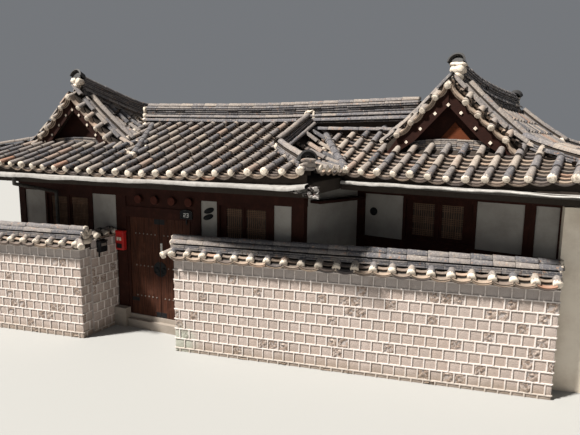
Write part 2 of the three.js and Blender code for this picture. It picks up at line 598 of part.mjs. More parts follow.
const gutterUnder = gutterZ - GUTTER.radius - FIT;
const gutterMiddle = eaveFront - GUTTER.radius;
const downpipePath = [[gutterMiddle, gutterUnder], [gutterMiddle, DOWNPIPE.neck],
  [-DOWNPIPE.gap, DOWNPIPE.turn], [-DOWNPIPE.gap, 0]].map(([y, z]) => [DOWNPIPE.x, y, z]);
const elbows = downpipePath.slice(1, -1).map((p) => ball(p, DOWNPIPE.radius));
add('downpipe', join(...pipe(downpipePath, DOWNPIPE.radius), ...elbows), tin);

for (const [name, size, material] of [['meter_box', METER_BOX, iron], ['call_box', CALL_BOX, red],
  ['number_plate', NUMBER_PLATE, iron], ['base_stone', BASE_STONE, stone]]) {
  add(name, box(...size), material);
}

// boarded canopy along the outer face of the slanting wall
const [, slantFoot, slantEnd] = slantLine.map(([x, y]) => new THREE.Vector2(x, y));
const slantWay = slantEnd.clone().sub(slantFoot).normalize();
const slantAt = (run, out) => [slantFoot.x + slantWay.x * run + slantWay.y * out,
  slantFoot.y + slantWay.y * run - slantWay.x * out];
const canopyPlan = [slantAt(CANOPY.from, FIT), slantAt(CANOPY.from, CANOPY.out),
  slantAt(CANOPY.to, CANOPY.out), slantAt(CANOPY.to, FIT)];
const canopy = slab(canopyPlan, CANOPY.z, CANOPY.z + CANOPY.thick).subtract(wingBlock);
add('canopy', canopy, timber);

export default house;
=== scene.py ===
import math
import random
import bmesh
import bpy
import numpy as np
from mathutils import Matrix, Vector, noise
from mathutils.bvhtree import BVHTree


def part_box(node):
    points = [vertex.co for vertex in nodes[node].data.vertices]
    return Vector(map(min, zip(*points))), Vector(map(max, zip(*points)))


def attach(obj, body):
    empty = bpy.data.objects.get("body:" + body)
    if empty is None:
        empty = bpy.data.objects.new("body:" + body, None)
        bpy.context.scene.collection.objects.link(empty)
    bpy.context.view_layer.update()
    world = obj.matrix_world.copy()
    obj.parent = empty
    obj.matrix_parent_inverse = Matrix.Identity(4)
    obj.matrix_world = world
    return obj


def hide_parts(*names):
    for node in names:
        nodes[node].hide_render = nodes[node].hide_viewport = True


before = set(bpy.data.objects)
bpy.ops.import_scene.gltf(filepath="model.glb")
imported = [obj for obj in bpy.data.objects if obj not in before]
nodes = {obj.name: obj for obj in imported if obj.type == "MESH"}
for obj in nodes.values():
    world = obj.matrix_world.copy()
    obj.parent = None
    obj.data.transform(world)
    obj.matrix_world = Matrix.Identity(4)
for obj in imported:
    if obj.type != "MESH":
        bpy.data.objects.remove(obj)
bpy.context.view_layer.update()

random.seed(23)


# Studio: a pale floor, a broad soft sun from the front left and a camera at the photograph's own viewpoint,
# which is on a bank across the street, a little above the eaves.
def spun(angle, axis="Z"):
    """A turn about one axis."""
    return Matrix.Rotation(angle, 4, axis)


floor_mesh = bpy.data.meshes.new("floor")
bm = bmesh.new()
bmesh.ops.create_grid(bm, x_segments=1, y_segments=1, size=60)
bm.to_mesh(floor_mesh)
bm.free()
floor = bpy.data.objects.new("floor", floor_mesh)
bpy.context.scene.collection.objects.link(floor)
floor_paint = bpy.data.materials.new("floor_paint")
floor_paint.use_nodes = True
floor_inputs = floor_paint.node_tree.nodes["Principled BSDF"].inputs
floor_inputs["Base Color"].default_value = (0.33, 0.33, 0.32, 1)
floor_inputs["Roughness"].default_value = 0.9
floor_mesh.materials.append(floor_paint)

world = bpy.data.worlds.new("studio")
world.use_nodes = True
sky_inputs = world.node_tree.nodes["Background"].inputs
sky_inputs["Color"].default_value = (0.84, 0.88, 0.94, 1)
sky_inputs["Strength"].default_value = 0.21
bpy.context.scene.world = world
sun_way = Vector((0.50, 0.52, -1.0))
sun_light = bpy.data.lights.new("sun", "SUN")
sun_light.energy = 8.6
sun_light.angle = math.radians(5)
sun_light.color = (1.0, 0.96, 0.90)
sun = bpy.data.objects.new("sun", sun_light)
sun.rotation_euler = sun_way.to_track_quat("-Z", "Y").to_euler()
bpy.context.scene.collection.objects.link(sun)

camera_place = (6.729, -8.408, 4.067)
camera_yaw, camera_pitch, camera_roll = math.radians(23.79), math.radians(90 - 8.47), math.radians(0.67)
camera_data = bpy.data.cameras.new("camera")
camera_data.lens = 31.07
camera_data.sensor_width = 36
camera = bpy.data.objects.new("camera", camera_data)
facing = spun(camera_yaw) @ spun(camera_pitch, "X")
camera.matrix_world = Matrix.Translation(camera_place) @ facing @ spun(camera_roll)
bpy.context.scene.collection.objects.link(camera)
bpy.context.scene.camera = camera
bpy.context.scene.view_settings.view_transform = "Standard"


# Roof covering: grey fired clay tiles. Hollow pan tiles lie from the eave upwards with rounded cover tiles
# over their joints, all bedded in clay on the roof boards, and domes of white lime close the lowest cover
# tiles.
class Signal:
    """A shader value, so that sums and products on it are written as plain expressions."""

    def __init__(self, finish, socket):
        self.finish = finish
        self.socket = socket

    def math(self, operation, first, second):
        return self.finish.node("ShaderNodeMath", {"operation": operation}, {0: first, 1: second})

    def __add__(self, other):
        return self.math("ADD", self, other)

    def __radd__(self, other):
        return self.math("ADD", other, self)

    def __mul__(self, other):
        return self.math("MULTIPLY", self, other)

    def __rmul__(self, other):
        return self.math("MULTIPLY", other, self)


class Finish:
    """A material that is built node by node."""

    def __init__(self, name):
        self.material = bpy.data.materials.new(name)
        self.material.use_nodes = True
        self.tree = self.material.node_tree
        self.shader = self.tree.nodes["Principled BSDF"]
        self.place = self.node("ShaderNodeTexCoord", {}, {}, "Object")

    def node(self, kind, settings, inputs, output=0):
        made = self.tree.nodes.new(kind)
        for key, value in settings.items():
            if key == "stops":
                made.color_ramp.elements.remove(made.color_ramp.elements[0])
                made.color_ramp.elements[0].position = value[0][0]
                made.color_ramp.elements[0].color = (*value[0][1], 1)
                for place, colour in value[1:]:
                    made.color_ramp.elements.new(place).color = (*colour, 1)
            else:
                setattr(made, key, value)
        for key, value in inputs.items():
            self.feed(made.inputs[key], value)
        return Signal(self, made.outputs[output])

    def feed(self, socket, value):
        if isinstance(value, Signal):
            self.tree.links.new(value.socket, socket)
        else:
            socket.default_value = value

    def noise(self, scale, detail=4, roughness=0.6, place=None):
        inputs = {"Vector": place or self.place, "Scale": scale, "Detail": detail, "Roughness": roughness}
        return self.node("ShaderNodeTexNoise", {}, inputs)

    def stretched(self, scale):
        return self.node("ShaderNodeMapping", {}, {"Vector": self.place, "Scale": scale})

    def mix(self, factor, first, second):
        colours = [(*c, 1) if isinstance(c, tuple) else c for c in (first, second)]
        inputs = {0: factor, 6: colours[0], 7: colours[1]}
        return self.node("ShaderNodeMix", {"data_type": "RGBA"}, inputs, 2)

    def ramp(self, value, stops):
        return self.node("ShaderNodeValToRGB", {"stops": stops}, {"Fac": value})

    def step(self, value, low, high):
        return self.node("ShaderNodeMapRange", {"interpolation_type": "SMOOTHSTEP"},
                         {"Value": value, "From Min": low, "From Max": high})

    def attribute(self, name):
        return self.node("ShaderNodeAttribute", {"attribute_name": name}, {}, "Fac")

    def wash(self, shade, where, low, high, amount, colour):
        """Lays some of a colour over a shade, where a value grows from low to high."""
        return self.mix(self.step(where, low, high) * amount, shade, colour)

    def damp(self, ragged, dry, wet):
        """Grows from 0 at the height called dry to 1 at the height called wet, with a ragged edge."""
        height = self.node("ShaderNodeSeparateXYZ", {}, {"Vector": self.place}, "Z")
        return self.step(height + ragged * self.noise(3.0, 5, 0.7), dry, wet)

    def done(self, colour, roughness, height=None, depth=0.004, metallic=0.0, shine=0.3):
        self.feed(self.shader.inputs["Base Color"], colour)
        self.feed(self.shader.inputs["Roughness"], roughness)
        self.feed(self.shader.inputs["Metallic"], metallic)
        self.feed(self.shader.inputs["Specular IOR Level"], shine)
        if height is not None:
            bump = self.node("ShaderNodeBump", {}, {"Height": height, "Distance": depth, "Strength": 1.0})
            self.feed(self.shader.inputs["Normal"], bump)
        return self.material


def fit(name, mesh, material, body="house", stands_for=()):
    """Shows a mesh as a piece of the house."""
    piece = bpy.data.objects.new(name, mesh)
    mesh.materials.append(material)
    bpy.context.scene.collection.objects.link(piece)
    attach(piece, body)
    if stands_for:
        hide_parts(*stands_for)


def repaint(material, *names):
    """Gives a material to frame nodes that show as they are."""
    for name in names:
        nodes[name].data.materials.clear()
        nodes[name].data.materials.append(material)


def sized(x, y, z):
    """A scaling along the three axes."""
    return Matrix.Diagonal((x, y, z, 1))


def lift(height):
    return Vector((0, 0, height))


def eased(bm, edges, size):
    """Bevels edges a little, as use and weather ease them."""
    bmesh.ops.bevel(bm, geom=edges, offset=size, offset_type="OFFSET", affect="EDGES", segments=1,
                    profile=0.5, material=-1)


def pattern(bm):
    """The points and faces of a small shape that is repeated many times."""
    bmesh.ops.recalc_face_normals(bm, faces=bm.faces)
    bm.verts.ensure_lookup_table()
    points = np.array([v.co for v in bm.verts])
    faces = [[v.index for v in f.verts] for f in bm.faces]
    bm.free()
    return points, faces


class Heap:
    """Copies of one shape, each with its place and its tone."""

    def __init__(self):
        self.places = []
        self.tones = []

    def add(self, place, shade=0.5):
        self.places.append(place)
        self.tones.append(shade)


def fit_many(name, shape, heap, material, sharp=40, lumpy=0.0, body="house",
             stands_for=()):
    """Shows a heap of one shape as one piece. A lumpy one has its surface moved a little, as by hand."""
    points, faces = shape
    count = len(points)
    spots = np.array([np.array(m) for m in heap.places])
    spread = np.einsum("nij,vj->nvi", spots[:, :3, :3], points) + spots[:, None, :3, 3]
    copies = [[k * count + i for i in f] for k in range(len(spots)) for f in faces]
    mesh = bpy.data.meshes.new(name)
    mesh.from_pydata(spread.reshape(-1, 3).tolist(), [], copies)
    tone_values = np.repeat(np.float32(heap.tones), count)
    along_values = np.tile(np.float32(points[:, 1]), len(spots))
    for key, values in (("tone", tone_values), ("along", along_values)):
        mesh.attributes.new(key, "FLOAT", "POINT").data.foreach_set("value", values)
    mesh.shade_smooth()
    mesh.set_sharp_from_angle(angle=math.radians(sharp))
    if lumpy:
        for vertex in mesh.vertices:
            vertex.co += noise.noise_vector(vertex.co * 11) * lumpy
    fit(name, mesh, material, body, stands_for)


def tube(rings, half_turn=True, steps=8):
    """A rounded tile: its profile of (radius, distance along the tile) turned about the tile's own line."""
    bm = bmesh.new()
    line = [bm.verts.new((radius, along, 0)) for radius, along in rings]
    for first, second in zip(line, line[1:]):
        bm.edges.new((first, second))
    angle = math.pi if half_turn else 2 * math.pi
    bmesh.ops.spin(bm, geom=bm.verts[:] + bm.edges[:], cent=(0, 0, 0), axis=(0, -1, 0), dvec=(0, 0, 0),
                   angle=angle, steps=steps, use_merge=not half_turn)
    bmesh.ops.remove_doubles(bm, verts=bm.verts, dist=0.0002)
    return pattern(bm)


def surface(*names):
    """A search tree over some frame nodes, to find the height that a tile lies at."""
    points = []
    faces = []
    for name in names:
        mesh = nodes[name].data
        faces += [[len(points) + i for i in face.vertices] for face in mesh.polygons]
        points += [vertex.co.copy() for vertex in mesh.vertices]
    return BVHTree.FromPolygons(points, faces)


roof_nodes = ("roof_left_wing", "roof_main", "roof_right_wing")
roof_skin = surface(*roof_nodes)
wing_angle = math.radians(-12)
wing_turn = Matrix.Rotation(wing_angle, 2)
wing_corner = Vector((3.833, 0.5))
cover_length, cover_overhang = 0.36, 0.065
pan_step, pan_overhang = 0.105, 0.045
bed = 0.078
rows = range(-40, 41)
search_step = 0.05
eave_height = 3.62  # a row that starts below this height starts at an eave
# downhill way, span of x in which the slope lies, shift and spacing of its rows
slopes = {
    "front": (Vector((0, -1)), -9, 4.3, -0.084, 0.3136),
    "rear": (Vector((0, 1)), -9, 5.6, 0.1, 0.3136),
    "corner": (Vector((1, 0)), 2.3, 4.3, 0.1, 0.3),
    "left_left": (Vector((-1, 0)), -9, 0.3, 0.0, 0.3136),
    "left_right": (Vector((1, 0)), -9, 0.3, 0.05, 0.3136),
    "wing_front": (wing_turn @ Vector((0, -1)), 3.0, 9.9, 0.107, 0.307),
    "wing_rear": (wing_turn @ Vector((0, 1)), 3.0, 9.9, 0.1, 0.307),
    "wing_left": (wing_turn @ Vector((-1, 0)), 3.0, 9.9, 0.0, 0.307),
    "wing_right": (wing_turn @ Vector((1, 0)), 3.0, 9.9, 0.1, 0.307),
}
# plan place of an upturned eave corner, its rise and how far it reaches
corners = [((3.83, -1.05), 0.15, 3.7), ((-5.22, -1.05), 0.16, 9.0), ((-5.22, 6.15), 0.15, 5.0),
           ((0.14, 6.15), 0.15, 5.0)]
for at in ((4.6, 0.0), (-1.26, 6.93), (4.6, 6.93)):
    corners.append(((*(wing_turn @ Vector(at) + wing_corner),), 0.15, 3.7))


def roof_at(x, y):
    """The point on the roof at (x, y), raised towards the upturned corners, and the way its slope faces."""
    hit, normal, _, _ = roof_skin.ray_cast((x, y, 9), (0, 0, -1))
    if hit is None or normal.z < 0.3:
        return None, None
    rise = max(up * math.exp(-((x - cx) ** 2 + (y - cy) ** 2) / far) for (cx, cy), up, far in corners)
    rise *= max(0.0, min(1.0, (3.95 - hit.z) / 0.5))
    flat = normal.xy.normalized()
    near = max((flat.dot(way), key) for key, (way, low, high, _, _) in slopes.items() if low < x < high)
    return hit + lift(rise), near[1] if near[0] > 0.85 else None


def stretches(key, offset):
    """The lengths of one row that lie on its own slope, as (lowest place, highest place) on its way up."""
    way = slopes[key][0]
    across = Vector((-way.y, way.x))

    def on_slope(t):
        return roof_at(*(across * offset - way * t))[1] == key

    found = []
    inside = False
    for step in range(-220, 221):
        t = step * search_step
        now = on_slope(t)
        if now != inside:
            low, high = t - search_step, t
            for _ in range(6):
                middle = (low + high) / 2
                if on_slope(middle) == inside:
                    low = middle
                else:
                    high = middle
            if now:
                found.append([high, high])
            else:
                found[-1][1] = low
        inside = now
    return [(low, high) for low, high in found if high - low > 0.12]


def spot(key, offset, t):
    """The point on the roof at one place of one row."""
    way = slopes[key][0]
    at = Vector((-way.y, way.x)) * offset - way * t
    return roof_at(at.x, at.y)[0]


def tilted(low, high, up, turn=0.0, side=0.0):
    """A place whose own y runs from one point to the next and whose z stands off the slope by up."""
    ahead = (high - low).normalized()
    across = ahead.cross(Vector((0, 0, 1))).normalized()
    away = across.cross(ahead)
    basis = Matrix((across, ahead, away)).transposed().to_4x4() @ spun(turn)
    return Matrix.Translation(low + away * up + across * side) @ basis


def tone():
    """A tile's own shade of grey, brown or slate."""
    return random.betavariate(1.6, 1.7)


def give(most):
    """A small error of the hand, either way."""
    return random.uniform(-most, most)


cover_shape = tube([(0.044, 0.0), (0.064, 0.0), (0.066, 0.014), (0.057, 0.33), (0.054, 0.37)])
plug_rings = [(0.060, 0.055), (0.066, 0.0), (0.059, -0.012), (0.034, -0.019), (0.002, -0.021)]
plug_shape = tube(plug_rings, False, 10)
# a pan is a shallow arc: a thin wedge's outline is spun about a line above the tile
pan_radius, pan_half_angle = 0.226, math.radians(44)
bm = bmesh.new()
low_back = bm.verts.new((0, 0.0, -pan_radius))
low_front = bm.verts.new((0, 0.0, -0.200))
high_end = bm.verts.new((0, pan_step + 0.012, -pan_radius))
bm.edges.new((low_back, low_front))
bm.edges.new((low_front, high_end))
bmesh.ops.rotate(bm, verts=bm.verts, cent=(0, 0, 0), matrix=Matrix.Rotation(-pan_half_angle, 3, "Y"))
bmesh.ops.spin(bm, geom=bm.verts[:] + bm.edges[:], cent=(0, 0, 0), axis=(0, 1, 0), dvec=(0, 0, 0),
               angle=2 * pan_half_angle, steps=6, use_merge=False)
bmesh.ops.translate(bm, verts=bm.verts, vec=(0, 0, pan_radius))
pan_shape = pattern(bm)

covers, pans, plugs = Heap(), Heap(), Heap()
for key, (way, _, _, shift, row_pitch) in slopes.items():
    for row in rows:
        offset = shift + row * row_pitch
        for low, high in stretches(key, offset):
            t = low - cover_overhang
            while t < high - 0.04:
                first_t = max(t, low + 0.001)
                start = spot(key, offset, first_t)
                end = spot(key, offset, min(t + cover_length, high - 0.001))
                if (end - start).length > 0.05:
                    start.xy += way * (first_t - t)
                    place = tilted(start, end, bed, give(0.016), give(0.004))
                    covers.add(place, tone())
                    if t < low:
                        wide = random.uniform(0.88, 1.1)
                        lean = spun(give(0.3), "X")
                        plugs.add(place @ lean @ sized(wide, 1, wide))
                t += cover_length
        offset += row_pitch / 2
        for low, high in stretches(key, offset):
            t = low - pan_overhang
            while t < high - 0.02:
                first_t = max(t, low + 0.001)
                start = spot(key, offset, first_t)
                end = spot(key, offset, min(first_t + 0.1, high - 0.001))
                if (end - start).length > 0.03:
                    place = tilted(start, end, 0.0, give(0.02), give(0.004))
                    place = Matrix.Translation((way * (first_t - t)).to_3d()) @ place
                    if t < low:
                        place = Matrix.Translation(lift(-0.012)) @ place
                    pans.add(place, tone())
                    if t < low:
                        pans.add(Matrix.Translation(lift(-0.032)) @ place, tone())
                t += pan_step

tile = Finish("weathered_tile")
stain = tile.noise(7.0, 6, 0.7)
grit = tile.noise(160.0, 3, 0.7)
shade = tile.ramp(tile.attribute("tone"), [
    (0.0, (0.062, 0.062, 0.070)), (0.24, (0.125, 0.120, 0.128)), (0.42, (0.190, 0.170, 0.162)),
    (0.64, (0.245, 0.212, 0.188)), (0.84, (0.325, 0.278, 0.235)), (0.95, (0.270, 0.180, 0.140)),
    (1.0, (0.320, 0.170, 0.112))])
shade = tile.wash(shade, stain, 0.52, 0.66, 0.4, (0.300, 0.262, 0.215))
fleck = tile.noise(31.0, 5, 0.75)
shade = tile.wash(shade, fleck, 0.53, 0.66, 0.55, (0.480, 0.430, 0.370))
shade = tile.wash(shade, fleck, 0.46, 0.34, 0.65, (0.045, 0.042, 0.046))
shade = tile.wash(shade, tile.noise(13.0, 3, 0.6), 0.60, 0.70, 0.5, (0.330, 0.185, 0.115))
# painted shade: a near-black band on each cover tile's upper end, just below the lip of the tile above
shade = tile.wash(shade, tile.attribute("along"), 0.325, 0.345, 0.85, (0.012, 0.010, 0.009))
tile_clay = tile.done(shade, 0.72 + 0.2 * stain, grit * 0.4 + stain, 0.006)

pan = Finish("weathered_pan_tile")
stain = pan.noise(9.0, 6, 0.7)
shade = pan.ramp(pan.attribute("tone"), [
    (0.0, (0.070, 0.061, 0.062)), (0.3, (0.150, 0.118, 0.100)), (0.6, (0.250, 0.193, 0.152)),
    (0.85, (0.360, 0.275, 0.210)), (1.0, (0.300, 0.160, 0.110))])
shade = pan.wash(shade, stain, 0.5, 0.66, 0.5, (0.300, 0.255, 0.205))
# painted shade: the upper part of each pan, where the next pan's lip lies over it, is made near black
shade = pan.wash(shade, pan.attribute("along"), 0.050, 0.074, 0.95, (0.006, 0.005, 0.004))
pan_clay = pan.done(shade, 0.75 + 0.2 * stain, pan.noise(120.0, 3, 0.7) * 0.4 + stain, 0.006)

lime = Finish("lime_mortar")
smear = lime.noise(14.0, 5, 0.7)
shade = lime.mix(lime.step(smear, 0.5, 0.68), (0.67, 0.59, 0.495), (0.26, 0.205, 0.16))
lime_white = lime.done(shade, 0.9, smear + 0.3 * lime.noise(90.0, 3, 0.6), 0.012)

fit_many("cover_tiles", cover_shape, covers, tile_clay)
fit_many("pan_tiles", pan_shape, pans, pan_clay)
fit_many("eave_plugs", plug_shape, plugs, lime_white, sharp=80, lumpy=0.007)

# the scalloped board that follows the eave and carries the lowest tiles
boards_under = bmesh.new()
for key in ("front", "rear", "wing_front", "wing_rear", "left_left", "left_right", "wing_left", "wing_right"):
    way, _, _, shift, row_pitch = slopes[key]
    aligned = spun(math.atan2(way.x, -way.y))
    for row in range(-80, 81):
        offset = shift + row * row_pitch / 2
        for low, high in stretches(key, offset)[:1]:
            at = spot(key, offset, low + 0.03)
            if at.z < eave_height + 0.04:
                turned = aligned @ sized(row_pitch / 2 + 0.002, 0.03, 0.15)
                place = Matrix.Translation(at - lift(0.06)) @ turned
                bmesh.ops.create_cube(boards_under, size=1, matrix=place)
eased(boards_under, boards_under.edges[:], 0.003)
eave_board_mesh = bpy.data.meshes.new("eave_boards")
boards_under.to_mesh(eave_board_mesh)
boards_under.free()

# the clay and boards under the tiles: a dark brown of their own, made near black as painted shade for the
# shaded soffit and the gaps between tiles
under = Finish("roof_clay_and_painted_shade")
shade = under.mix(under.noise(6.0, 6, 0.7), (0.012, 0.009, 0.007), (0.050, 0.037, 0.028))
bed_clay_and_painted_shade = under.done(shade, 0.9, under.noise(40.0, 4, 0.7), 0.01)
fit("eave_boards", eave_board_mesh, bed_clay_and_painted_shade)
repaint(bed_clay_and_painted_shade, *roof_nodes)


# Ridges: flat roof tiles bedded in clay in level courses between rounded side courses and a rounded crown.
# The wing ridges sweep up to their ends, and lime lumps with a dark hooded end tile close every ridge.
def walk(line, length):
    """Cuts a bent line into steps of about one length and gives the two ends of each."""
    line = [Vector(p) for p in line]
    far = [0.0]
    for first, second in zip(line, line[1:]):
        far.append(far[-1] + (second - first).length)
    count = max(1, round(far[-1] / length))

    def at(s):
        for k in range(len(line) - 1):
            if s <= far[k + 1] + 1e-6:
                return line[k].lerp(line[k + 1], (s - far[k]) / (far[k + 1] - far[k]))

    return [(at(far[-1] * i / count), at(far[-1] * (i + 1) / count)) for i in range(count)]


roll_length, slab_length, core_length = 0.345, 0.296, 0.290
slab_pitch, slab_thick = 0.30, 0.026
rolls, slabs, cores, lumps = Heap(), Heap(), Heap(), Heap()
hoods, hood_backs, end_fills = Heap(), Heap(), Heap()
bm = bmesh.new()
slab_place = Matrix.Translation((0, slab_length / 2, 0)) @ sized(1, 0.292, slab_thick)
bmesh.ops.create_cube(bm, size=1, matrix=slab_place)
eased(bm, bm.edges[:], 0.005)
slab_shape = pattern(bm)
lump_rings = [(0.002, 0.5), (0.40, 0.47), (0.51, 0.32), (0.54, 0.0), (0.51, -0.32), (0.40, -0.47),
              (0.002, -0.5)]
lump_shape = tube(lump_rings, False, 14)
hood_rings = [(0.46, 0.55), (0.46, 0.0), (0.50, -0.16), (0.62, -0.12), (0.56, 0.05), (0.53, 0.55)]
hood_shape = tube(hood_rings, True, 12)


def rounded(line, up, side=0.0, low_tone=0.0, high_tone=1.0, wide=1.0, heap=rolls, sway=0.012, slack=0.004):
    """Lays a rounded course along a line."""
    for low, high in walk(line, roll_length):
        place = tilted(low, high, up, give(sway), side + give(slack))
        size = sized(wide, (high - low).length / roll_length, wide)
        heap.add(place @ size, low_tone + (high_tone - low_tone) * tone())


def flat_courses(line, wide, first, last, step=0.034, light=0.38):
    """Lays flat courses on each other, from the height first to the height last."""
    up = first
    while up < last:
        inset = random.uniform(-0.026, 0.012)
        for low, high in walk(line, slab_pitch):
            place = tilted(low, high, up + give(0.003), give(0.012), give(0.008))
            size = sized(wide + inset, (high - low).length / slab_length, 1)
            slabs.add(place @ size, light * tone())
        up += step


def core(line, wide, first, last):
    """Fills a ridge with clay, so that no light shows between its tiles."""
    for low, high in walk(line, slab_pitch):
        size = sized(wide, (high - low).length / core_length, (last - first) / slab_thick)
        cores.add(tilted(low, high, (first + last) / 2) @ size)


def lump(at, size, turn=0.0):
    """A hand-made lump of lime."""
    lumps.add(Matrix.Translation(at) @ spun(turn) @ sized(*size))


def hood(at, size, turn, tilt=0.0):
    """The dark end tile that stands over the end of a ridge and faces outwards."""
    place = Matrix.Translation(at) @ spun(turn) @ spun(tilt, "X") @ sized(size, size, size)
    hoods.add(place, 0.2)
    hood_backs.add(place @ Matrix.Translation((0, 0.10, 0)) @ sized(0.92, 0.12, 0.92), 0.2)


def on_roof(points, rise=0.0):
    """Drops plan points on the roof."""
    return [roof_at(x, y)[0] + lift(rise) for x, y in points]


def between(first, last, count):
    """Plan points at even steps from one to another."""
    return [Vector(first).lerp(Vector(last), i / count) for i in range(count + 1)]


# the main ridge dies against the slopes of both wings
main_line = [Vector((x, 2.0, 4.44 + 0.012 * abs(x - 1.5) ** 1.3))
             for x in (-1.80, -0.6, 0.6, 1.5, 2.4, 3.6, 4.95)]
for side in (-1, 1):
    rounded(main_line, 0.085, side * 0.150, 0.0, 0.35)
    rounded(main_line, 0.185, side * 0.118, 0.1, 0.65, 0.85)
    rounded(main_line, 0.395, side * 0.070, 0.0, 0.6, 0.75)
    rounded([(2.75, 2.0, 4.36), (4.80, 2.0, 4.34)], 0.0, side * 0.165, 0.0, 0.5)
flat_courses(main_line, 0.30, 0.05, 0.20, 0.045)
flat_courses(main_line, 0.26, 0.225, 0.40, 0.046)
rounded(main_line, 0.455, 0.0, 0.2, 0.8)
core(main_line, 0.18, -0.45, 0.45)
for up, wide in ((0.02, 0.15), (0.14, 0.11), (0.27, 0.13), (0.40, 0.10)):
    lump((-1.82, 1.96, 4.45 + up), (wide, 0.26, 0.17), give(0.2))

# the short ridge that comes down over the main block's right end
fall_line = on_roof([(2.64, y) for y in (1.84, 1.4, 1.0, 0.6, 0.30)])
flat_courses(fall_line, 0.19, 0.06, 0.22)
rounded(fall_line, 0.25, 0.0, 0.3, 0.8)
rounded(fall_line, 0.07, -0.13, 0.1, 0.6, 0.8)
rounded(fall_line, 0.07, 0.13, 0.1, 0.6, 0.8)
core(fall_line, 0.15, -0.1, 0.24)
lump(fall_line[0] + Vector((-0.09, 0.02, 0.2)), (0.05, 0.07, 0.26), -0.3)
lump(fall_line[0] + Vector((0.0, 0.02, 0.34)), (0.16, 0.07, 0.06))
lump(fall_line[0] + Vector((0.09, 0.02, 0.2)), (0.05, 0.07, 0.26), 0.3)
lump(fall_line[-1] + lift(0.13), (0.14, 0.12, 0.2))

# the hip below it, down to the corner of the eaves, where a hood and tile shards close it
hip_line = on_roof(between((2.70, 0.24), (3.70, -0.90), 4))
hip_turn = math.radians(41)
flat_courses(hip_line, 0.19, 0.06, 0.19)
rounded(hip_line, 0.225, 0.0, 0.3, 0.85)
core(hip_line, 0.15, -0.05, 0.20)
hood(hip_line[-1] + Vector((0.03, -0.03, 0.20)), 0.27, hip_turn, -0.15)
for up, wide, shade in ((0.07, 0.23, 0.55), (0.13, 0.25, 0.7), (0.19, 0.24, 0.6)):
    place = Matrix.Translation(hip_line[-1] + Vector((0.04, -0.05, up))) @ spun(hip_turn)
    end_fills.add(place @ sized(wide, 0.09, 0.075), shade)
lump(hip_line[-1] + Vector((-0.10, -0.02, 0.08)), (0.04, 0.10, 0.20), hip_turn)

# cover rows in the valleys beside the wings, the left one bedded in crumbs of lime
valley_line = on_roof(between((3.90, 0.50), (3.03, 1.84), 6), 0.03)
rounded(valley_line, 0.085, 0.0, 0.05, 0.22, 1.25)
lump(valley_line[0] + Vector((0.02, -0.04, 0.07)), (0.15, 0.09, 0.13))
valley_line = on_roof(between((-0.40, -0.22), (-1.45, 1.70), 6), 0.03)
rounded(valley_line, 0.080, 0.0, 0.05, 0.25, 1.15)
lump(valley_line[0] + Vector((0.0, -0.06, 0.06)), (0.15, 0.11, 0.13))
for along, aside in ((0.5, -0.13), (1.6, 0.14), (2.7, -0.12), (3.6, 0.14), (4.6, 0.13)):
    crumb = valley_line[int(along)].lerp(valley_line[int(along) + 1], along % 1)
    lump(crumb + Vector((aside, 0.5 * aside, 0.035)), (0.08, 0.11, 0.08), 0.5)


def wing_place(s, w):
    """The plan place of a point in the right wing's own frame."""
    return wing_turn @ Vector((s, w)) + wing_corner


def left_at(s, w):
    return Vector((-2.537 + s, -1.05 + w))


def right_at(s, w):
    return wing_place(1.67 + s, w)


# Both wings' measures. at: plan place beside the middle line and behind the street eave. half, span: half
# width and length at the eaves. verge, foot: place and half width of the gable. height: of the ridge. back:
# its ends behind the gables. hips: side and end of each corner with a hip. stubs, droop: places of the
# verge tiles on each side and their fall. plates: places and drops of the diamond plates. lumps: place
# across, height and size of the lime on the ridge ends. apron: depth and level of the pediment's foot.
# far_hood: size of the rear hood.
wings = {
    "left": {
        "at": left_at, "turn": 0.0, "half": 2.68, "span": 7.2, "verge": 1.30, "foot": 1.345,
        "height": 0.47, "back": 0.20, "far_hood": 0.18, "hips": [(-1, 0), (-1, 1), (1, 1)],
        "stubs": ((0.27, 0.51, 0.75, 0.98, 1.22), (0.28, 0.52, 0.77, 1.02, 1.29)), "droop": 0.11,
        "plates": ((0.20, 0.33), (0.43, 0.33), (0.67, 0.32), (0.91, 0.29)), "apron": (1.47, 3.985),
        "lumps": ((-0.06, 0.30, (0.15, 0.16, 0.15)), (0.08, 0.29, (0.15, 0.16, 0.14)),
                  (0.0, 0.19, (0.13, 0.16, 0.11))),
    },
    "right": {
        "at": right_at, "turn": wing_angle, "half": 2.93, "span": 6.93, "verge": 0.80, "foot": 1.18,
        "height": 0.45, "back": 0.34, "far_hood": 0.27, "hips": [(1, 0), (-1, 1), (1, 1)],
        "stubs": ((0.22, 0.44, 0.65, 0.91), (0.32, 0.54, 0.77, 1.01, 1.24)), "droop": 0.05,
        "plates": ((0.23, 0.31), (0.49, 0.31), (0.75, 0.31)), "apron": (0.965, 4.01),
        "lumps": ((0.03, 0.25, (0.26, 0.20, 0.18)), (0.03, 0.34, (0.29, 0.20, 0.08)),
                  (0.03, 0.13, (0.20, 0.20, 0.14))),
    },
}
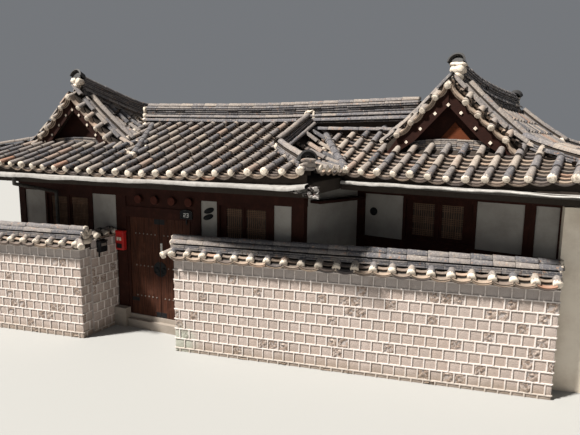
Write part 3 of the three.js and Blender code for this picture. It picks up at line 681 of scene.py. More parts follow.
for wing in wings.values():
    place, foot, span = wing["at"], wing["foot"], wing["span"]
    first = wing["verge"] + wing["back"]
    last = span - wing["verge"] - wing["back"]
    crest = on_roof([place(0, first + (last - first) * i / 12) for i in range(13)])
    for side in (-1, 1):
        rounded(crest, 0.10, side * 0.145, 0.0, 0.5)
        rounded(crest, wing["height"] - 0.12, side * 0.062, 0.0, 0.4, 0.7)
    flat_courses(crest, 0.29, 0.03, 0.16)
    flat_courses(crest, 0.23, 0.15, wing["height"] - 0.09, 0.043)
    rounded(crest, wing["height"] - 0.065, 0.0, 0.1, 0.5, 1.1)
    core(crest, 0.17, -0.15, wing["height"] - 0.07)
    for rear in (0, 1):
        end = crest[-1 if rear else 0]
        out = -1 + 2 * rear
        ahead = Matrix.Rotation(wing["turn"], 3, "Z") @ Vector((0, out, 0))
        turn = wing["turn"] + math.pi * rear
        size = wing["far_hood"] if rear else 0.27
        hood(end + ahead * 0.06 + lift(wing["height"] - 0.33 + size), size, turn, -0.35)
        # a low course of flat tiles over lime, arched a little, closes the foot of the pediment
        deep, level = wing["apron"]
        deep = span - deep if rear else deep
        foot_line = [place(s, deep).to_3d() + lift(level + 0.07 - 0.10 * s * s)
                     for s in (-0.72, -0.4, 0, 0.4, 0.72)]
        flat_courses(foot_line, 0.12, -0.09, 0.09, 0.034, 1.0)
        core(foot_line, 0.10, -0.2, 0.03)
        for across, up, size in wing["lumps"]:
            lump(end + Matrix.Rotation(turn, 3, "Z") @ Vector((across, -0.04, up)), size, turn)
        # descending ridges stand a little behind the verges, each over a lower inner step
        behind = span - wing["verge"] - 0.36 if rear else wing["verge"] + 0.36
        for side in (-1, 1):
            line = on_roof([place(side * foot * u, behind) for u in (0.09, 0.2, 0.4, 0.6, 0.8, 0.97)])
            flat_courses(line, 0.22, 0.055, 0.16, 0.036)
            rounded(line, 0.185, 0.0, 0.25, 0.8, 1.05)
            core(line, 0.16, -0.05, 0.18)
            rounded(line, 0.10, -out * side * 0.15, 0.2, 0.75)
            step_line = [p + ahead * 0.13 for p in line]
            flat_courses(step_line, 0.15, -0.045, 0.10, 0.044)
            core(step_line, 0.12, -0.09, 0.08)
            lump(line[-1] + lift(0.10), (0.17, 0.20, 0.22), turn)
            lump(line[-1] + ahead * 0.14, (0.13, 0.16, 0.13), turn + 0.4)
            if (side, rear) not in wing["hips"]:
                continue
            eave = span - 0.12 if rear else 0.12
            spread = wing["half"] - 0.10 - foot
            hip = on_roof([place(side * (foot - 0.02 + spread * t), behind + (eave - behind) * t)
                           for t in (0.0, 0.25, 0.5, 0.75, 1.0)])
            flat_courses(hip, 0.20, 0.05, 0.15)
            rounded(hip, 0.18, 0.0, 0.2, 0.9)
            core(hip, 0.15, -0.05, 0.16)
            way = hip[-1] - hip[-2]
            away = math.atan2(way.x, -way.y)
            hood(hip[-1] + lift(0.13) + 0.02 * way, 0.20, away, -0.1)
            lump(hip[-1] + lift(0.08) + 0.08 * way, (0.18, 0.10, 0.2), away)

hood_dark = Finish("dark_end_tile")
shade = hood_dark.mix(hood_dark.noise(30.0, 5), (0.012, 0.012, 0.014), (0.05, 0.048, 0.046))
hood_black = hood_dark.done(shade, 0.6, hood_dark.noise(60.0, 4), 0.005)
fit_many("ridge_rounds", cover_shape, rolls, tile_clay, stands_for=["ridges_main"])
fit_many("ridge_courses", slab_shape, slabs, tile_clay,
         stands_for=["ridges_left_wing", "ridges_right_wing"])
fit_many("ridge_clay", slab_shape, cores, bed_clay_and_painted_shade)
fit_many("ridge_lime", lump_shape, lumps, lime_white, sharp=80, lumpy=0.03)
fit_many("ridge_hoods", hood_shape, hoods, hood_black)
fit_many("hood_backs", lump_shape, hood_backs, hood_black, sharp=80, lumpy=0.02)
fit_many("end_fills", lump_shape, end_fills, tile_clay, sharp=80, lumpy=0.02)


# Verges: short cover tiles point out over the gable edges with small pans between them and lime on their
# ends. Dark raking boards, pinned with white diamond plates, hang below them and frame the plank pediments.
def thickened(bm, way):
    """Gives flat faces a thickness, and returns what moved."""
    moved = bmesh.ops.extrude_face_region(bm, geom=bm.faces[:])["geom"]
    bmesh.ops.translate(bm, verts=[v for v in moved if isinstance(v, bmesh.types.BMVert)], vec=way)
    return moved


stubs, stub_pans, stub_plugs, diamonds = Heap(), Heap(), Heap(), Heap()
bm = bmesh.new()
bmesh.ops.create_circle(bm, cap_ends=True, segments=4, radius=0.036, matrix=spun(math.radians(90), "X"))
thickened(bm, (0, -0.008, 0))
eased(bm, bm.edges[:], 0.002)
diamond_shape = pattern(bm)
raking = bmesh.new()


def by_rows(vertex):
    return round(vertex.co.y, 3), vertex.co.x


def strip(bm, top, bottom, thick):
    """A thin board between two lines of points, as thick as given."""
    made = bmesh.ops.create_grid(bm, x_segments=len(top) - 1, y_segments=1, size=1)["verts"]
    made.sort(key=by_rows)
    for vertex, point in zip(made, list(bottom) + list(top)):
        vertex.co = point
    bm.normal_update()
    faces = list({f for v in made for f in v.link_faces})
    bmesh.ops.solidify(bm, geom=faces + list({e for f in faces for e in f.edges}) + made, thickness=thick)


for wing in wings.values():
    place = wing["at"]
    for rear in (0, 1):
        out = -1 + 2 * rear
        turn = wing["turn"] + math.pi * rear
        ahead = Matrix.Rotation(wing["turn"], 3, "Z") @ Vector((0, out, 0))
        edge = wing["span"] - wing["verge"] - 0.004 if rear else wing["verge"] + 0.004
        for side in (-1, 1):
            spots = [0.03, *wing["stubs"][side > 0]]
            tips = [p + ahead * 0.12 - lift(wing["droop"])
                    for p in on_roof([place(side * reach, edge) for reach in spots])]
            for before, tip in zip(tips, tips[1:]):
                inner = tip - ahead * 0.33 + lift(0.18)
                stub = tilted(tip, inner, 0.0, give(0.06))
                stubs.add(stub, 0.45 + 0.55 * tone())
                stub_plugs.add(stub @ sized(0.92, 0.6, 0.92))
                along = (before - tip).normalized() * out * side
                inward = (inner - tip).normalized()
                away = along.cross(inward)
                lying = Matrix((along, inward, away)).transposed().to_4x4()
                wide = (before - tip).length / 0.300
                for drop, forward in ((0.030, -0.010), (0.054, -0.035), (0.078, -0.060)):
                    middle = (before + tip) / 2 + ahead * forward - away * drop
                    stacked = Matrix.Translation(middle) @ lying @ sized(wide, 2.2, 1)
                    stub_pans.add(stacked, 0.5 + 0.4 * tone())
            line = on_roof([place(side * wing["foot"] * u, edge) for u in (0.0, 0.25, 0.5, 0.75, 1.0)])
            drops = (0.42, 0.42, 0.42, 0.36, 0.16)
            top = [p + ahead * 0.012 - lift(0.06) for p in line]
            low_edge = [p + ahead * 0.012 - lift(drop) for p, drop in zip(line, drops)]
            strip(raking, top, low_edge, 0.02)
            for reach, under in wing["plates"]:
                at = on_roof([place(side * reach, edge)])[0] + ahead * 0.026 - lift(under)
                diamonds.add(Matrix.Translation(at) @ spun(turn))
        peak = on_roof([place(0, edge)])[0]
        diamonds.add(Matrix.Translation(peak + ahead * 0.026 - lift(0.40)) @ spun(turn))
        peak.z -= wing["droop"] + 0.03
        stub = tilted(peak + ahead * 0.13, peak - ahead * 0.25 + lift(0.16), 0.0)
        stubs.add(stub, 0.7)
        stub_plugs.add(stub)

bmesh.ops.recalc_face_normals(raking, faces=raking.faces)
raking_mesh = bpy.data.meshes.new("raking_boards")
raking.to_mesh(raking_mesh)
raking.free()


def planks(name, dark, light, across, gloss=0.7):
    """Stained softwood: its grain runs along every axis but the one that it is cut across."""
    wood = Finish(name)
    grain = wood.noise(1.0, 6, 0.65, wood.stretched([3.0 if k == across else 60.0 for k in range(3)]))
    worn = wood.step(wood.noise(5.0, 5, 0.7), 0.45, 0.75)
    colour = wood.mix(grain, dark, light)
    colour = wood.mix(worn * 0.35, colour, tuple(c * 1.8 for c in light))
    return wood.done(colour, gloss + 0.15 * grain, grain + 0.3 * worn, 0.003, 0.0, 0.12)


dark_board = planks("dark_board", (0.010, 0.004, 0.003), (0.027, 0.009, 0.006), 0, 0.75)
fit("raking_boards", raking_mesh, dark_board)
fit_many("verge_covers", cover_shape, stubs, tile_clay)
fit_many("verge_pans", pan_shape, stub_pans, pan_clay)
fit_many("verge_plugs", plug_shape, stub_plugs, lime_white, sharp=80, lumpy=0.012)
fit_many("diamond_plates", diamond_shape, diamonds, lime_white)
repaint(dark_board, "pediment_left_wing_front", "pediment_left_wing_rear", "pediment_right_wing_front",
        "pediment_right_wing_rear")

# a lighter, newer triangle of boards in the middle of the right wing's pediment
bm = bmesh.new()
patch_corners = ((1.43, 4.12), (2.06, 4.12), (1.735, 4.47))
bm.faces.new([bm.verts.new((*wing_place(s, 1.012), z)) for s, z in patch_corners])
thickened(bm, wing_turn.to_3x3() @ Vector((0, -0.008, 0)))
eased(bm, bm.edges[:], 0.002)
bmesh.ops.recalc_face_normals(bm, faces=bm.faces)
newer_mesh = bpy.data.meshes.new("pediment_patch")
bm.to_mesh(newer_mesh)
bm.free()
newer_board = planks("newer_boards", (0.055, 0.014, 0.005), (0.125, 0.034, 0.012), 0, 0.6)
fit("pediment_patch", newer_mesh, newer_board)


# Timber frame: squared pine posts, head beams and sill rails under round rafters, stained dark brown
# against rain. The frame stands on a dressed stone plinth, and the panels between the posts are white lime
# plaster.
dark_timber = planks("stained_timber", (0.011, 0.004, 0.003), (0.044, 0.014, 0.009), 2)
dark_beam = planks("stained_beam", (0.009, 0.003, 0.002), (0.032, 0.010, 0.007), 0)
repaint(dark_timber, "frame_front_left", "frame_front_right", "frame_wing_front")

white = Finish("wall_plaster")
cloud = white.noise(2.2, 6, 0.65)
splash = white.damp(0.5, 1.9, 0.4)
shade = white.mix(white.step(cloud, 0.35, 0.75), (0.36, 0.342, 0.316), (0.27, 0.251, 0.226))
shade = white.mix(splash * 0.4, shade, (0.26, 0.235, 0.20))
streak = white.noise(1.0, 5, 0.7, white.stretched((7, 7, 0.6)))
shade = white.wash(shade, streak, 0.58, 0.75, 0.25, (0.30, 0.275, 0.235))
plaster_white = white.done(shade, 0.92, white.noise(60.0, 5, 0.6) + cloud, 0.003)
repaint(plaster_white, *[name for name in nodes if name.startswith("wall_")])

stone = Finish("dressed_stone")
flecks = stone.noise(190.0, 2, 0.8)
shade = stone.mix(stone.step(flecks, 0.4, 0.6), (0.19, 0.160, 0.135), (0.40, 0.350, 0.300))
shade = stone.wash(shade, stone.noise(3.0, 6, 0.7), 0.45, 0.7, 0.5, (0.19, 0.165, 0.13))
stone_grey = stone.done(shade, 0.88, flecks * 0.4 + stone.noise(25.0, 5, 0.7), 0.006)
repaint(stone_grey, "plinth", "base_stone", "gate_threshold")

rafter_radius = 0.047
rafter_shape = tube([(0.002, 0.0), (0.040, 0.0), (0.046, 0.006), (0.048, 1.0), (0.002, 1.0)], False, 10)
rafters = Heap()
for key, (way, _, _, shift, row_pitch) in slopes.items():
    across = Vector((-way.y, way.x))
    for row in rows:
        offset = shift + (row + 0.5) * row_pitch
        for low, high in stretches(key, offset):
            if spot(key, offset, low).z > eave_height:
                continue
            ends = []
            for deep in (0.16, 1.0):
                at = across * offset - way * low - way * deep
                hit = roof_skin.ray_cast((at.x, at.y, 2.6), (0, 0, 1))[0]
                if hit is not None and hit.z > 3.0:
                    ends.append(hit - lift(rafter_radius))
            if len(ends) == 2:
                size = sized(1, (ends[1] - ends[0]).length, 1)
                rafters.add(tilted(ends[0], ends[1], 0.0) @ size, tone())
fit_many("rafters", rafter_shape, rafters, dark_beam)


# Windows: fixed timber casings with two sashes each, a close lattice of thin bars in front of mulberry
# paper. They sit in the plaster, and the windows at the sides and the rear repeat those of the front.
def block(bm, low, high, edge=0.003):
    """A squared piece of timber, iron or stone with its edges eased."""
    size = Vector(high) - Vector(low)
    middle = (Vector(high) + Vector(low)) / 2
    made = bmesh.ops.create_cube(bm, size=1, matrix=Matrix.Translation(middle) @ sized(*size))["verts"]
    if edge:
        eased(bm, list({e for v in made for e in v.link_edges}), edge)


def fit_shape(name, bm, material, place=None, sharp=35, body="house", stands_for=()):
    """Closes a shape, moves it into the house and shows it."""
    if place is not None:
        bmesh.ops.transform(bm, matrix=place, verts=bm.verts)
    bmesh.ops.recalc_face_normals(bm, faces=bm.faces)
    mesh = bpy.data.meshes.new(name)
    bm.to_mesh(mesh)
    bm.free()
    mesh.shade_smooth()
    mesh.set_sharp_from_angle(angle=math.radians(sharp))
    fit(name, mesh, material, body, stands_for)


def lattice_window(name, long, low, high, place, panes):
    """Casing, sashes and lattice, with the paper behind them; panes are the open spans of the sashes."""
    timber = bmesh.new()
    bars = bmesh.new()
    paper = bmesh.new()
    casing = 0.06
    front, back = 0.045, 0.085                  # of the sashes
    foot, head = low + 0.05, high - 0.05        # of the sashes
    block(timber, (0.0, 0.005, low), (long, 0.125, low + casing))
    block(timber, (0.0, 0.005, high - casing), (long, 0.125, high))
    spans = [0.0] + [x for pane in panes for x in pane] + [long]
    for left, right in zip(spans[::2], spans[1::2]):
        wide = right - left
        if left == 0.0:
            block(timber, (0.0, 0.007, low + casing), (casing, 0.123, high - casing))
            block(timber, (casing, front, foot), (right, back, head))
        elif right == long:
            block(timber, (long - casing, 0.007, low + casing), (long, 0.123, high - casing))
            block(timber, (left, front, foot), (long - casing, back, head))
        else:
            block(timber, (left, front, foot), (left + wide * 0.47, back, head))
            block(timber, (left + wide * 0.53, front, foot), (right, back, head))
            block(timber, (left + wide * 0.3, 0.030, foot), (right - wide * 0.3, 0.110, head))
    bottom, top = low + 0.13, high - 0.12       # of the lattice
    for left, right in panes:
        block(timber, (left - 0.002, front, foot), (right + 0.002, back, bottom))
        block(timber, (left - 0.002, front, top), (right + 0.002, back, head))
        count = max(3, round((right - left) / 0.042))
        for i in range(1, count):
            x = left + (right - left) * i / count
            block(bars, (x - 0.005, 0.052, bottom - 0.004), (x + 0.005, 0.066, top + 0.004), 0.0)
        for group in (0.10, 0.50, 0.90):
            for i in (-1.5, -0.5, 0.5, 1.5):
                z = bottom + (top - bottom) * group + i * 0.036
                block(bars, (left - 0.004, 0.054, z - 0.005), (right + 0.004, 0.068, z + 0.005), 0.0)
        block(paper, (left - 0.01, 0.068, bottom - 0.01), (right + 0.01, 0.074, top + 0.01), 0.0)
    fit_shape(name + "_lattice", timber, dark_timber, place, stands_for=[name])
    fit_shape(name + "_bars", bars, bar_wood, place)
    fit_shape(name + "_paper", paper, paper_with_painted_shade, place)


def standing(x, y, degrees=0.0):
    """A plan place that is turned by so many degrees."""
    return Matrix.Translation((x, y, 0)) @ spun(math.radians(degrees))


# painted shade: the paper is given near-black browns that stand in for the deep shade it lies in
shaded_paper = Finish("mulberry_paper_painted_shade")
fibre = shaded_paper.noise(1.0, 6, 0.7, shaded_paper.stretched((60, 60, 14)))
shade = shaded_paper.mix(shaded_paper.step(fibre, 0.35, 0.7), (0.062, 0.045, 0.033), (0.034, 0.024, 0.019))
shade = shaded_paper.wash(shade, shaded_paper.noise(4.0, 4), 0.5, 0.75, 0.5, (0.022, 0.014, 0.011))
paper_with_painted_shade = shaded_paper.done(shade, 0.8, fibre, 0.001)
bar_wood = planks("bleached_bars", (0.105, 0.056, 0.034), (0.225, 0.142, 0.094), 2)

wing_frame = standing(*wing_corner, -12)
sill, head_beam = 1.80, 2.90
lattice_window("window_front_left", 1.47, sill, head_beam, standing(-3.307, 0.0),
               [(0.16, 0.66), (0.80, 1.30)])
lattice_window("window_front_right", 1.255, sill, head_beam, standing(1.43, 0.0),
               [(0.20, 0.55), (0.645, 1.07)])
lattice_window("window_wing_front", 1.402, 2.20, 3.07, wing_frame @ standing(0.795, 1.05),
               [(0.19, 0.62), (0.765, 1.16)])

# The walls away from the street, as the front's pattern has them: posts at the corners and beside the one
# window, a rail under it and a head beam, in the same stained pine. Walls without a name have no window.
side_frame = bmesh.new()
hidden_walls = (
    ("left_rear", 3.26, standing(-0.907, 5.10, 180)),
    ("left_side", 4.70, standing(-4.167, 4.90, -90)),
    ("main_rear", 5.508, standing(4.401, 4.00, 180)),
    ("wing_rear", 3.76, wing_frame @ standing(3.55, 5.88, 180)),
    ("wing_side", 4.43, wing_frame @ standing(3.55, 1.25, 90)),
    ("", 0.90, standing(-0.907, 4.00, 90)),
    ("", 2.35, wing_frame @ standing(-0.21, 5.68, -90)),
)


def add_in(whole, bm, place):
    """Moves a shape into its place and joins it to a larger one."""
    bmesh.ops.transform(bm, matrix=place, verts=bm.verts)
    held = bpy.data.meshes.new("held")
    bm.to_mesh(held)
    bm.free()
    whole.from_mesh(held)
    bpy.data.meshes.remove(held)


for name, long, place in hidden_walls:
    wall_frame = bmesh.new()
    posts = [(0.0, 0.2), (long - 0.2, long)]
    if name:
        first = long / 2 - 0.70
        posts += [(first - 0.15, first), (first + 1.40, first + 1.55)]
        lattice_window("window_" + name, 1.40, sill, head_beam, place @ standing(first, 0.0),
                       [(0.14, 0.64), (0.76, 1.26)])
    for left, right in posts:
        block(wall_frame, (left, -0.005, 0.182), (right, 0.028, sill - 0.10), 0.004)
        block(wall_frame, (left, -0.005, sill), (right, 0.028, head_beam), 0.004)
    block(wall_frame, (0.0, -0.009, sill - 0.10), (long, 0.028, sill), 0.004)
    block(wall_frame, (0.0, -0.009, head_beam), (long, 0.028, 3.16), 0.004)
    add_in(side_frame, wall_frame, place)
fit_shape("side_frame", side_frame, dark_timber)


# Gate: two leaves of upright pine planks in a heavy post and lintel frame, studded with three rows of iron
# nails, with iron straps, half of a round iron plate and a ring on each leaf, and short round log ends
# above the lintel.
repaint(dark_timber, "gate_frame")
door_wood = Finish("gate_planks")
grain = door_wood.noise(1.0, 7, 0.7, door_wood.stretched((38, 38, 2.2)))
shade = door_wood.mix(door_wood.step(grain, 0.3, 0.75), (0.020, 0.007, 0.004), (0.080, 0.027, 0.014))
shade = door_wood.wash(shade, door_wood.noise(2.6, 5, 0.7), 0.5, 0.72, 0.45, (0.115, 0.048, 0.029))
gate_wood = door_wood.done(shade, 0.65 + 0.2 * grain, grain, 0.003, 0.0, 0.15)
iron = Finish("black_iron")
pits = iron.noise(70.0, 5, 0.7)
shade = iron.mix(iron.step(pits, 0.45, 0.7), (0.007, 0.008, 0.010), (0.028, 0.026, 0.025))
forged = iron.done(shade, 0.5 + 0.25 * pits, pits, 0.002, 0.4)
rubbed = Finish("rubbed_iron")
wear = rubbed.noise(90.0, 4, 0.7)
shade = rubbed.mix(rubbed.step(wear, 0.4, 0.65), (0.260, 0.230, 0.205), (0.110, 0.092, 0.080))
rubbed_iron = rubbed.done(shade, 0.5 + 0.2 * wear, wear, 0.001, 0.2)


def everything(bm):
    return bm.verts[:] + bm.edges[:] + bm.faces[:]


stud_bm = bmesh.new()
bmesh.ops.create_uvsphere(stud_bm, u_segments=10, v_segments=6, radius=0.016)
bmesh.ops.bisect_plane(stud_bm, geom=everything(stud_bm), plane_co=(0, 0.002, 0), plane_no=(0, 1, 0),
                       clear_outer=True)
stud_shape = pattern(stud_bm)
plate_radius, plate_thick = 0.165, 0.008
ring_radius, ring_wire = 0.055, 0.007
for side, body, leaf in ((-1, "left_leaf", "gate_leaf_left"), (1, "right_leaf", "gate_leaf_right")):
    low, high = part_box(leaf)
    inner, outer = (high.x, low.x) if side < 0 else (low.x, high.x)
    # four planks, with three battens across their backs
    planks_bm = bmesh.new()
    for i in range(4):
        left = low.x + (high.x - low.x) * i / 4
        right = low.x + (high.x - low.x) * (i + 1) / 4
        block(planks_bm, (left + 0.0008, low.y, low.z), (right - 0.0008, high.y - 0.018, high.z), 0.005)
    for z in (0.72, 1.40, 2.10):
        block(planks_bm, (low.x + 0.04, high.y - 0.022, z - 0.05), (high.x - 0.04, high.y, z + 0.05), 0.005)
    fit_shape(leaf + "_planks", planks_bm, gate_wood, body=body, stands_for=[leaf])
    studs = Heap()
    for z, first in ((0.715, 0), (1.395, 1), (2.10, 0)):
        for i in range(first, 6):
            studs.add(Matrix.Translation((inner + side * (0.11 + 0.104 * i), low.y, z)), 0.4)
    fit_many(leaf + "_studs", stud_shape, studs, rubbed_iron, body=body)
    # straps at the joint and one at the hinge side
    straps = bmesh.new()
    joint_end, hinge_end = inner + side * 0.13, outer - side * 0.20
    for first, last, bottom, top in ((inner, joint_end, 2.33, 2.44), (inner, joint_end, 0.285, 0.395),
                                     (outer, hinge_end, 0.58, 0.66)):
        left, right = sorted((first, last))
        block(straps, (left, low.y - 0.003, bottom), (right, low.y + 0.001, top), 0.001)
    fit_shape(leaf + "_straps", straps, forged, body=body)
    # the half-moon plate with its rivets, a boss and the ring that hangs from it
    plate = bmesh.new()
    bmesh.ops.create_circle(plate, cap_ends=True, segments=44, radius=plate_radius,
                            matrix=spun(math.radians(90), "X"))
    bmesh.ops.bisect_plane(plate, geom=everything(plate), plane_co=(side * 0.006, 0, 0),
                           plane_no=(side, 0, 0), clear_inner=True)
    moved = thickened(plate, (0, -plate_thick, 0))
    front = [face for face in moved if isinstance(face, bmesh.types.BMFace)]
    bmesh.ops.inset_individual(plate, faces=front, thickness=0.016, depth=-0.004)
    for degrees in (18, 54, 90, 126, 162):
        rivet = spun(math.radians(degrees * side), "Y") @ Vector((0, -plate_thick, 0.146))
        bmesh.ops.create_uvsphere(plate, u_segments=8, v_segments=6, radius=0.008,
                                  matrix=Matrix.Translation(rivet))
    pivot = Vector((side * 0.087, -plate_thick, 0.02))
    bmesh.ops.create_uvsphere(plate, u_segments=14, v_segments=8, radius=0.022,
                              matrix=Matrix.Translation(pivot))
    hung = pivot + Vector((0, -0.012, -0.058))
    wire_place = Matrix.Translation(hung + Vector((ring_radius, 0, 0)))
    wire = bmesh.ops.create_circle(plate, segments=10, radius=ring_wire, matrix=wire_place)["verts"]
    bmesh.ops.spin(plate, geom=wire + list({e for v in wire for e in v.link_edges}), cent=hung,
                   axis=(0, 1, 0), dvec=(0, 0, 0), angle=2 * math.pi, steps=28, use_merge=True)
    fit_shape("ring_plate_" + body, plate, forged, Matrix.Translation((inner, low.y, 1.36)),
              60, body, ["ring_plate_left" if side < 0 else "ring_plate_right"])

# the sawn faces of the four round logs over the lintel, redder than the frame
log_rings = [(0.002, -0.004), (0.020, -0.003), (0.040, -0.005), (0.060, -0.003), (0.078, -0.004),
             (0.087, 0.0), (0.087, 0.008)]
logs = Heap()
for x in (-0.491, -0.069, 0.370, 0.790):
    logs.add(Matrix.Translation((x, -0.060, 2.85)), tone())
sawn = planks("sawn_log_ends", (0.026, 0.007, 0.005), (0.085, 0.024, 0.015), 1)
fit_many("log_faces", tube(log_rings, False, 20), logs, sawn)

# the pale pull plate beside the joint
pull = bmesh.new()
low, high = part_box("gate_leaf_right")
block(pull, (0.014, low.y - 0.010, 1.72), (0.070, low.y, 1.93), 0.004)
for z in (1.755, 1.79, 1.825, 1.86, 1.895):
    block(pull, (0.024, low.y - 0.013, z - 0.010), (0.060, low.y - 0.008, z + 0.008), 0.002)
pale = Finish("pale_pull")
shade = pale.mix(pale.step(pale.noise(40.0, 4), 0.4, 0.6), (0.62, 0.61, 0.57), (0.40, 0.38, 0.34))
pale_metal = pale.done(shade, 0.45, pale.noise(60.0, 3), 0.001)
fit_shape("pull_plate", pull, pale_metal, body="right_leaf")


# Street walls: rubble cores faced with square granite blocks in running bond. Raised white lime joints
# frame every block, and about one block in five is carved rough. The top row has its own greyer, paler
# colours: painted light and shade for the coping's shadow that falls over it.
block_wide, block_tall, joint_wide = 0.200, 0.1954, 0.020
plain_kinds, carved_kinds = 3, 5
carved_share = 0.2


def granite_plate(cuts, rough, seed):
    """The face of one block, a little proud of the wall, with a dressed or a rough carved surface."""
    dice = random.Random(seed)
    bm = bmesh.new()
    bmesh.ops.create_grid(bm, x_segments=cuts, y_segments=cuts, size=0.5)
    bmesh.ops.scale(bm, vec=(block_wide - 0.012, block_tall - 0.012, 1), verts=bm.verts)
    for v in bm.verts:
        v.co.z = 0.0005 if v.is_boundary else 0.007 + dice.uniform(-rough, rough)
    return pattern(bm)


joint_bm = bmesh.new()
block(joint_bm, (-0.5, -0.5, -0.004), (0.5, 0.5, 0.019), 0.0)
eased(joint_bm, [e for e in joint_bm.edges if all(v.co.z > 0.01 for v in e.verts)], 0.004)
joint_shape = pattern(joint_bm)
plate_shapes = [granite_plate(4, 0.0016, k) for k in range(plain_kinds)]
plate_shapes += [granite_plate(6, 0.021, k) for k in range(10, 10 + carved_kinds)]
plates = [Heap() for _ in plate_shapes]
joints = Heap()


def lay_joint(place, x, y, angle, long=None, tall=None):
    """A raised joint; the length that is given stays, and the other one is the joint's uneven width."""
    at = place @ Matrix.Translation((x, y, random.uniform(-0.002, 0.001))) @ spun(give(angle))
    width = joint_wide * random.uniform(0.85, 1.1)
    joints.add(at @ sized(long or width, tall or width, 1))


def block_face(place, long, tall):
    """Covers an upright face with blocks and joints; place has x along the wall, y up and z outwards."""
    row = 0
    top = tall
    while top > 0.02:
        bottom = max(0.0, top - block_tall)
        middle_y = (top + bottom) / 2
        x = 0.0 if row % 2 == 0 else -block_wide / 2
        while x < long - 0.01:
            left, right = max(x, 0.0), min(x + block_wide, long)
            if right - left > 0.02:
                rough = row > 0 and random.random() < carved_share
                kinds = (plain_kinds, len(plate_shapes)) if rough else (0, plain_kinds)
                kind = random.randrange(*kinds)
                size = sized((right - left) / block_wide, (top - bottom) / block_tall, 1.0)
                half_turn = spun(math.pi * random.randrange(2))
                middle = Matrix.Translation(((left + right) / 2, middle_y, 0.0))
                # the top row takes the stops at the ramp's foot: greyer and paler, painted light and shade
                # for the coping's shadow
                tone_with_top_row_light = random.random()
                tone_with_top_row_light = 0.05 * tone_with_top_row_light if row == 0 else 0.3 + 0.7 * tone_with_top_row_light
                plates[kind].add(place @ middle @ size @ half_turn, tone_with_top_row_light)
            if left > 0.0:
                lay_joint(place, left, middle_y, 0.012, tall=top - bottom)
            x += block_wide
        x = 0.0
        while x < long:
            piece = min(0.4, long - x)
            lay_joint(place, x + piece / 2, top - (0.008 if row == 0 else 0.0), 0.004, long=piece + 0.004)
            x += piece
        top = bottom
        row += 1


def facing_place(origin, along, out):
    """A face's own axes: x along the wall, y up, z outwards."""
    basis = Matrix((Vector(along), Vector((0, 0, 1)), Vector(out))).transposed().to_4x4()
    return Matrix.Translation(origin) @ basis


street_place = standing(-1.167, -1.05, 8.4)
wall_from, wall_to, wall_left, wall_thick = 2.118, 8.818, -4.2, 0.3
wall_top, left_top, return_top = 1.833, 1.877, 2.02
right_way, left_way, in_way, out_way = (1, 0, 0), (-1, 0, 0), (0, 1, 0), (0, -1, 0)
street_faces = (
    ((wall_from, 0, 0), right_way, out_way, wall_to - wall_from, wall_top),
    ((wall_left, 0, 0), right_way, out_way, -wall_left, left_top),
    ((0, 0, 0), in_way, right_way, wall_thick, left_top),
    ((wall_from, wall_thick, 0), out_way, left_way, wall_thick, wall_top),
    ((wall_to, 0, 0), in_way, right_way, wall_thick, wall_top),
    ((wall_left, wall_thick, 0), out_way, left_way, wall_thick, left_top),
    ((-0.25, wall_thick, 0), left_way, in_way, -wall_left - 0.25, left_top),
)
for origin, along, out, long, tall in street_faces:
    block_face(street_place @ facing_place(origin, along, out), long, tall)
low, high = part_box("return_wall_right")
return_faces = (
    ((-1.167, -0.747, 0), in_way, right_way, 0.745),
    ((-1.417, 0.0, 0), out_way, left_way, 0.74),
    ((low.x, high.y, 0), out_way, left_way, high.y - low.y),
)
for origin, along, out, long in return_faces:
    block_face(facing_place(origin, along, out), long, return_top)


def granite_face(name, carved):
    """Speckled pinkish granite; the carved blocks carry dark patches of painted shade and pale patches of
    painted highlight for their relief.
    """
    granite = Finish(name)
    speck = granite.noise(260.0, 2, 0.8)
    # the stops up to 0.12 are the top row's painted light and shade; the rest are the blocks' own tones
    shade = granite.ramp(granite.attribute("tone"), [
        (0.0, (0.475, 0.422, 0.398)), (0.12, (0.495, 0.437, 0.410)), (0.3, (0.412, 0.342, 0.302)),
        (0.65, (0.495, 0.415, 0.374)), (1.0, (0.440, 0.355, 0.306))])
    shade = granite.wash(shade, speck, 0.50, 0.62, 0.5, (0.200, 0.160, 0.138))
    shade = granite.wash(shade, granite.noise(120.0, 2, 0.8), 0.56, 0.66, 0.45, (0.60, 0.53, 0.48))
    shade = granite.wash(shade, granite.noise(4.0, 5, 0.7), 0.5, 0.75, 0.35, (0.300, 0.228, 0.182))
    if carved:
        # painted shade and painted highlight: dark and pale patches that stand for the light on the carved
        # relief
        relief_shade_and_highlight = granite.noise(19.0, 5, 0.75)
        shade = granite.wash(shade, relief_shade_and_highlight, 0.46, 0.53, 0.7, (0.210, 0.142, 0.100))
        shade = granite.wash(shade, relief_shade_and_highlight, 0.44, 0.38, 0.6, (0.62, 0.52, 0.44))
    shade = granite.mix(granite.damp(0.25, 0.42, 0.12) * 0.5, shade, (0.240, 0.185, 0.130))
    # green film low down at the right wall's end beside the gate
    green = granite.node("ShaderNodeVectorMath", {"operation": "DISTANCE"},
                         {0: granite.place, 1: (1.05, -0.75, 0.22)}, "Value")
    moss = green + 0.35 * granite.noise(7.0, 5, 0.7)
    shade = granite.wash(shade, moss, 0.62, 0.30, 0.6, (0.400, 0.450, 0.375))
    return granite.done(shade, 0.9, speck * 0.5 + granite.noise(45.0, 5, 0.7), 0.008)


granite_grey = granite_face("granite_blocks", False)
carved_grey = granite_face("carved_granite", True)

joint = Finish("white_joints")
rub = joint.noise(30.0, 5, 0.7)
shade = joint.mix(joint.step(rub, 0.5, 0.7), (0.70, 0.640, 0.60), (0.46, 0.400, 0.36))
shade = joint.mix(joint.damp(0.25, 0.42, 0.12) * 0.5, shade, (0.34, 0.28, 0.21))
joint_white = joint.done(shade, 0.9, rub, 0.004)

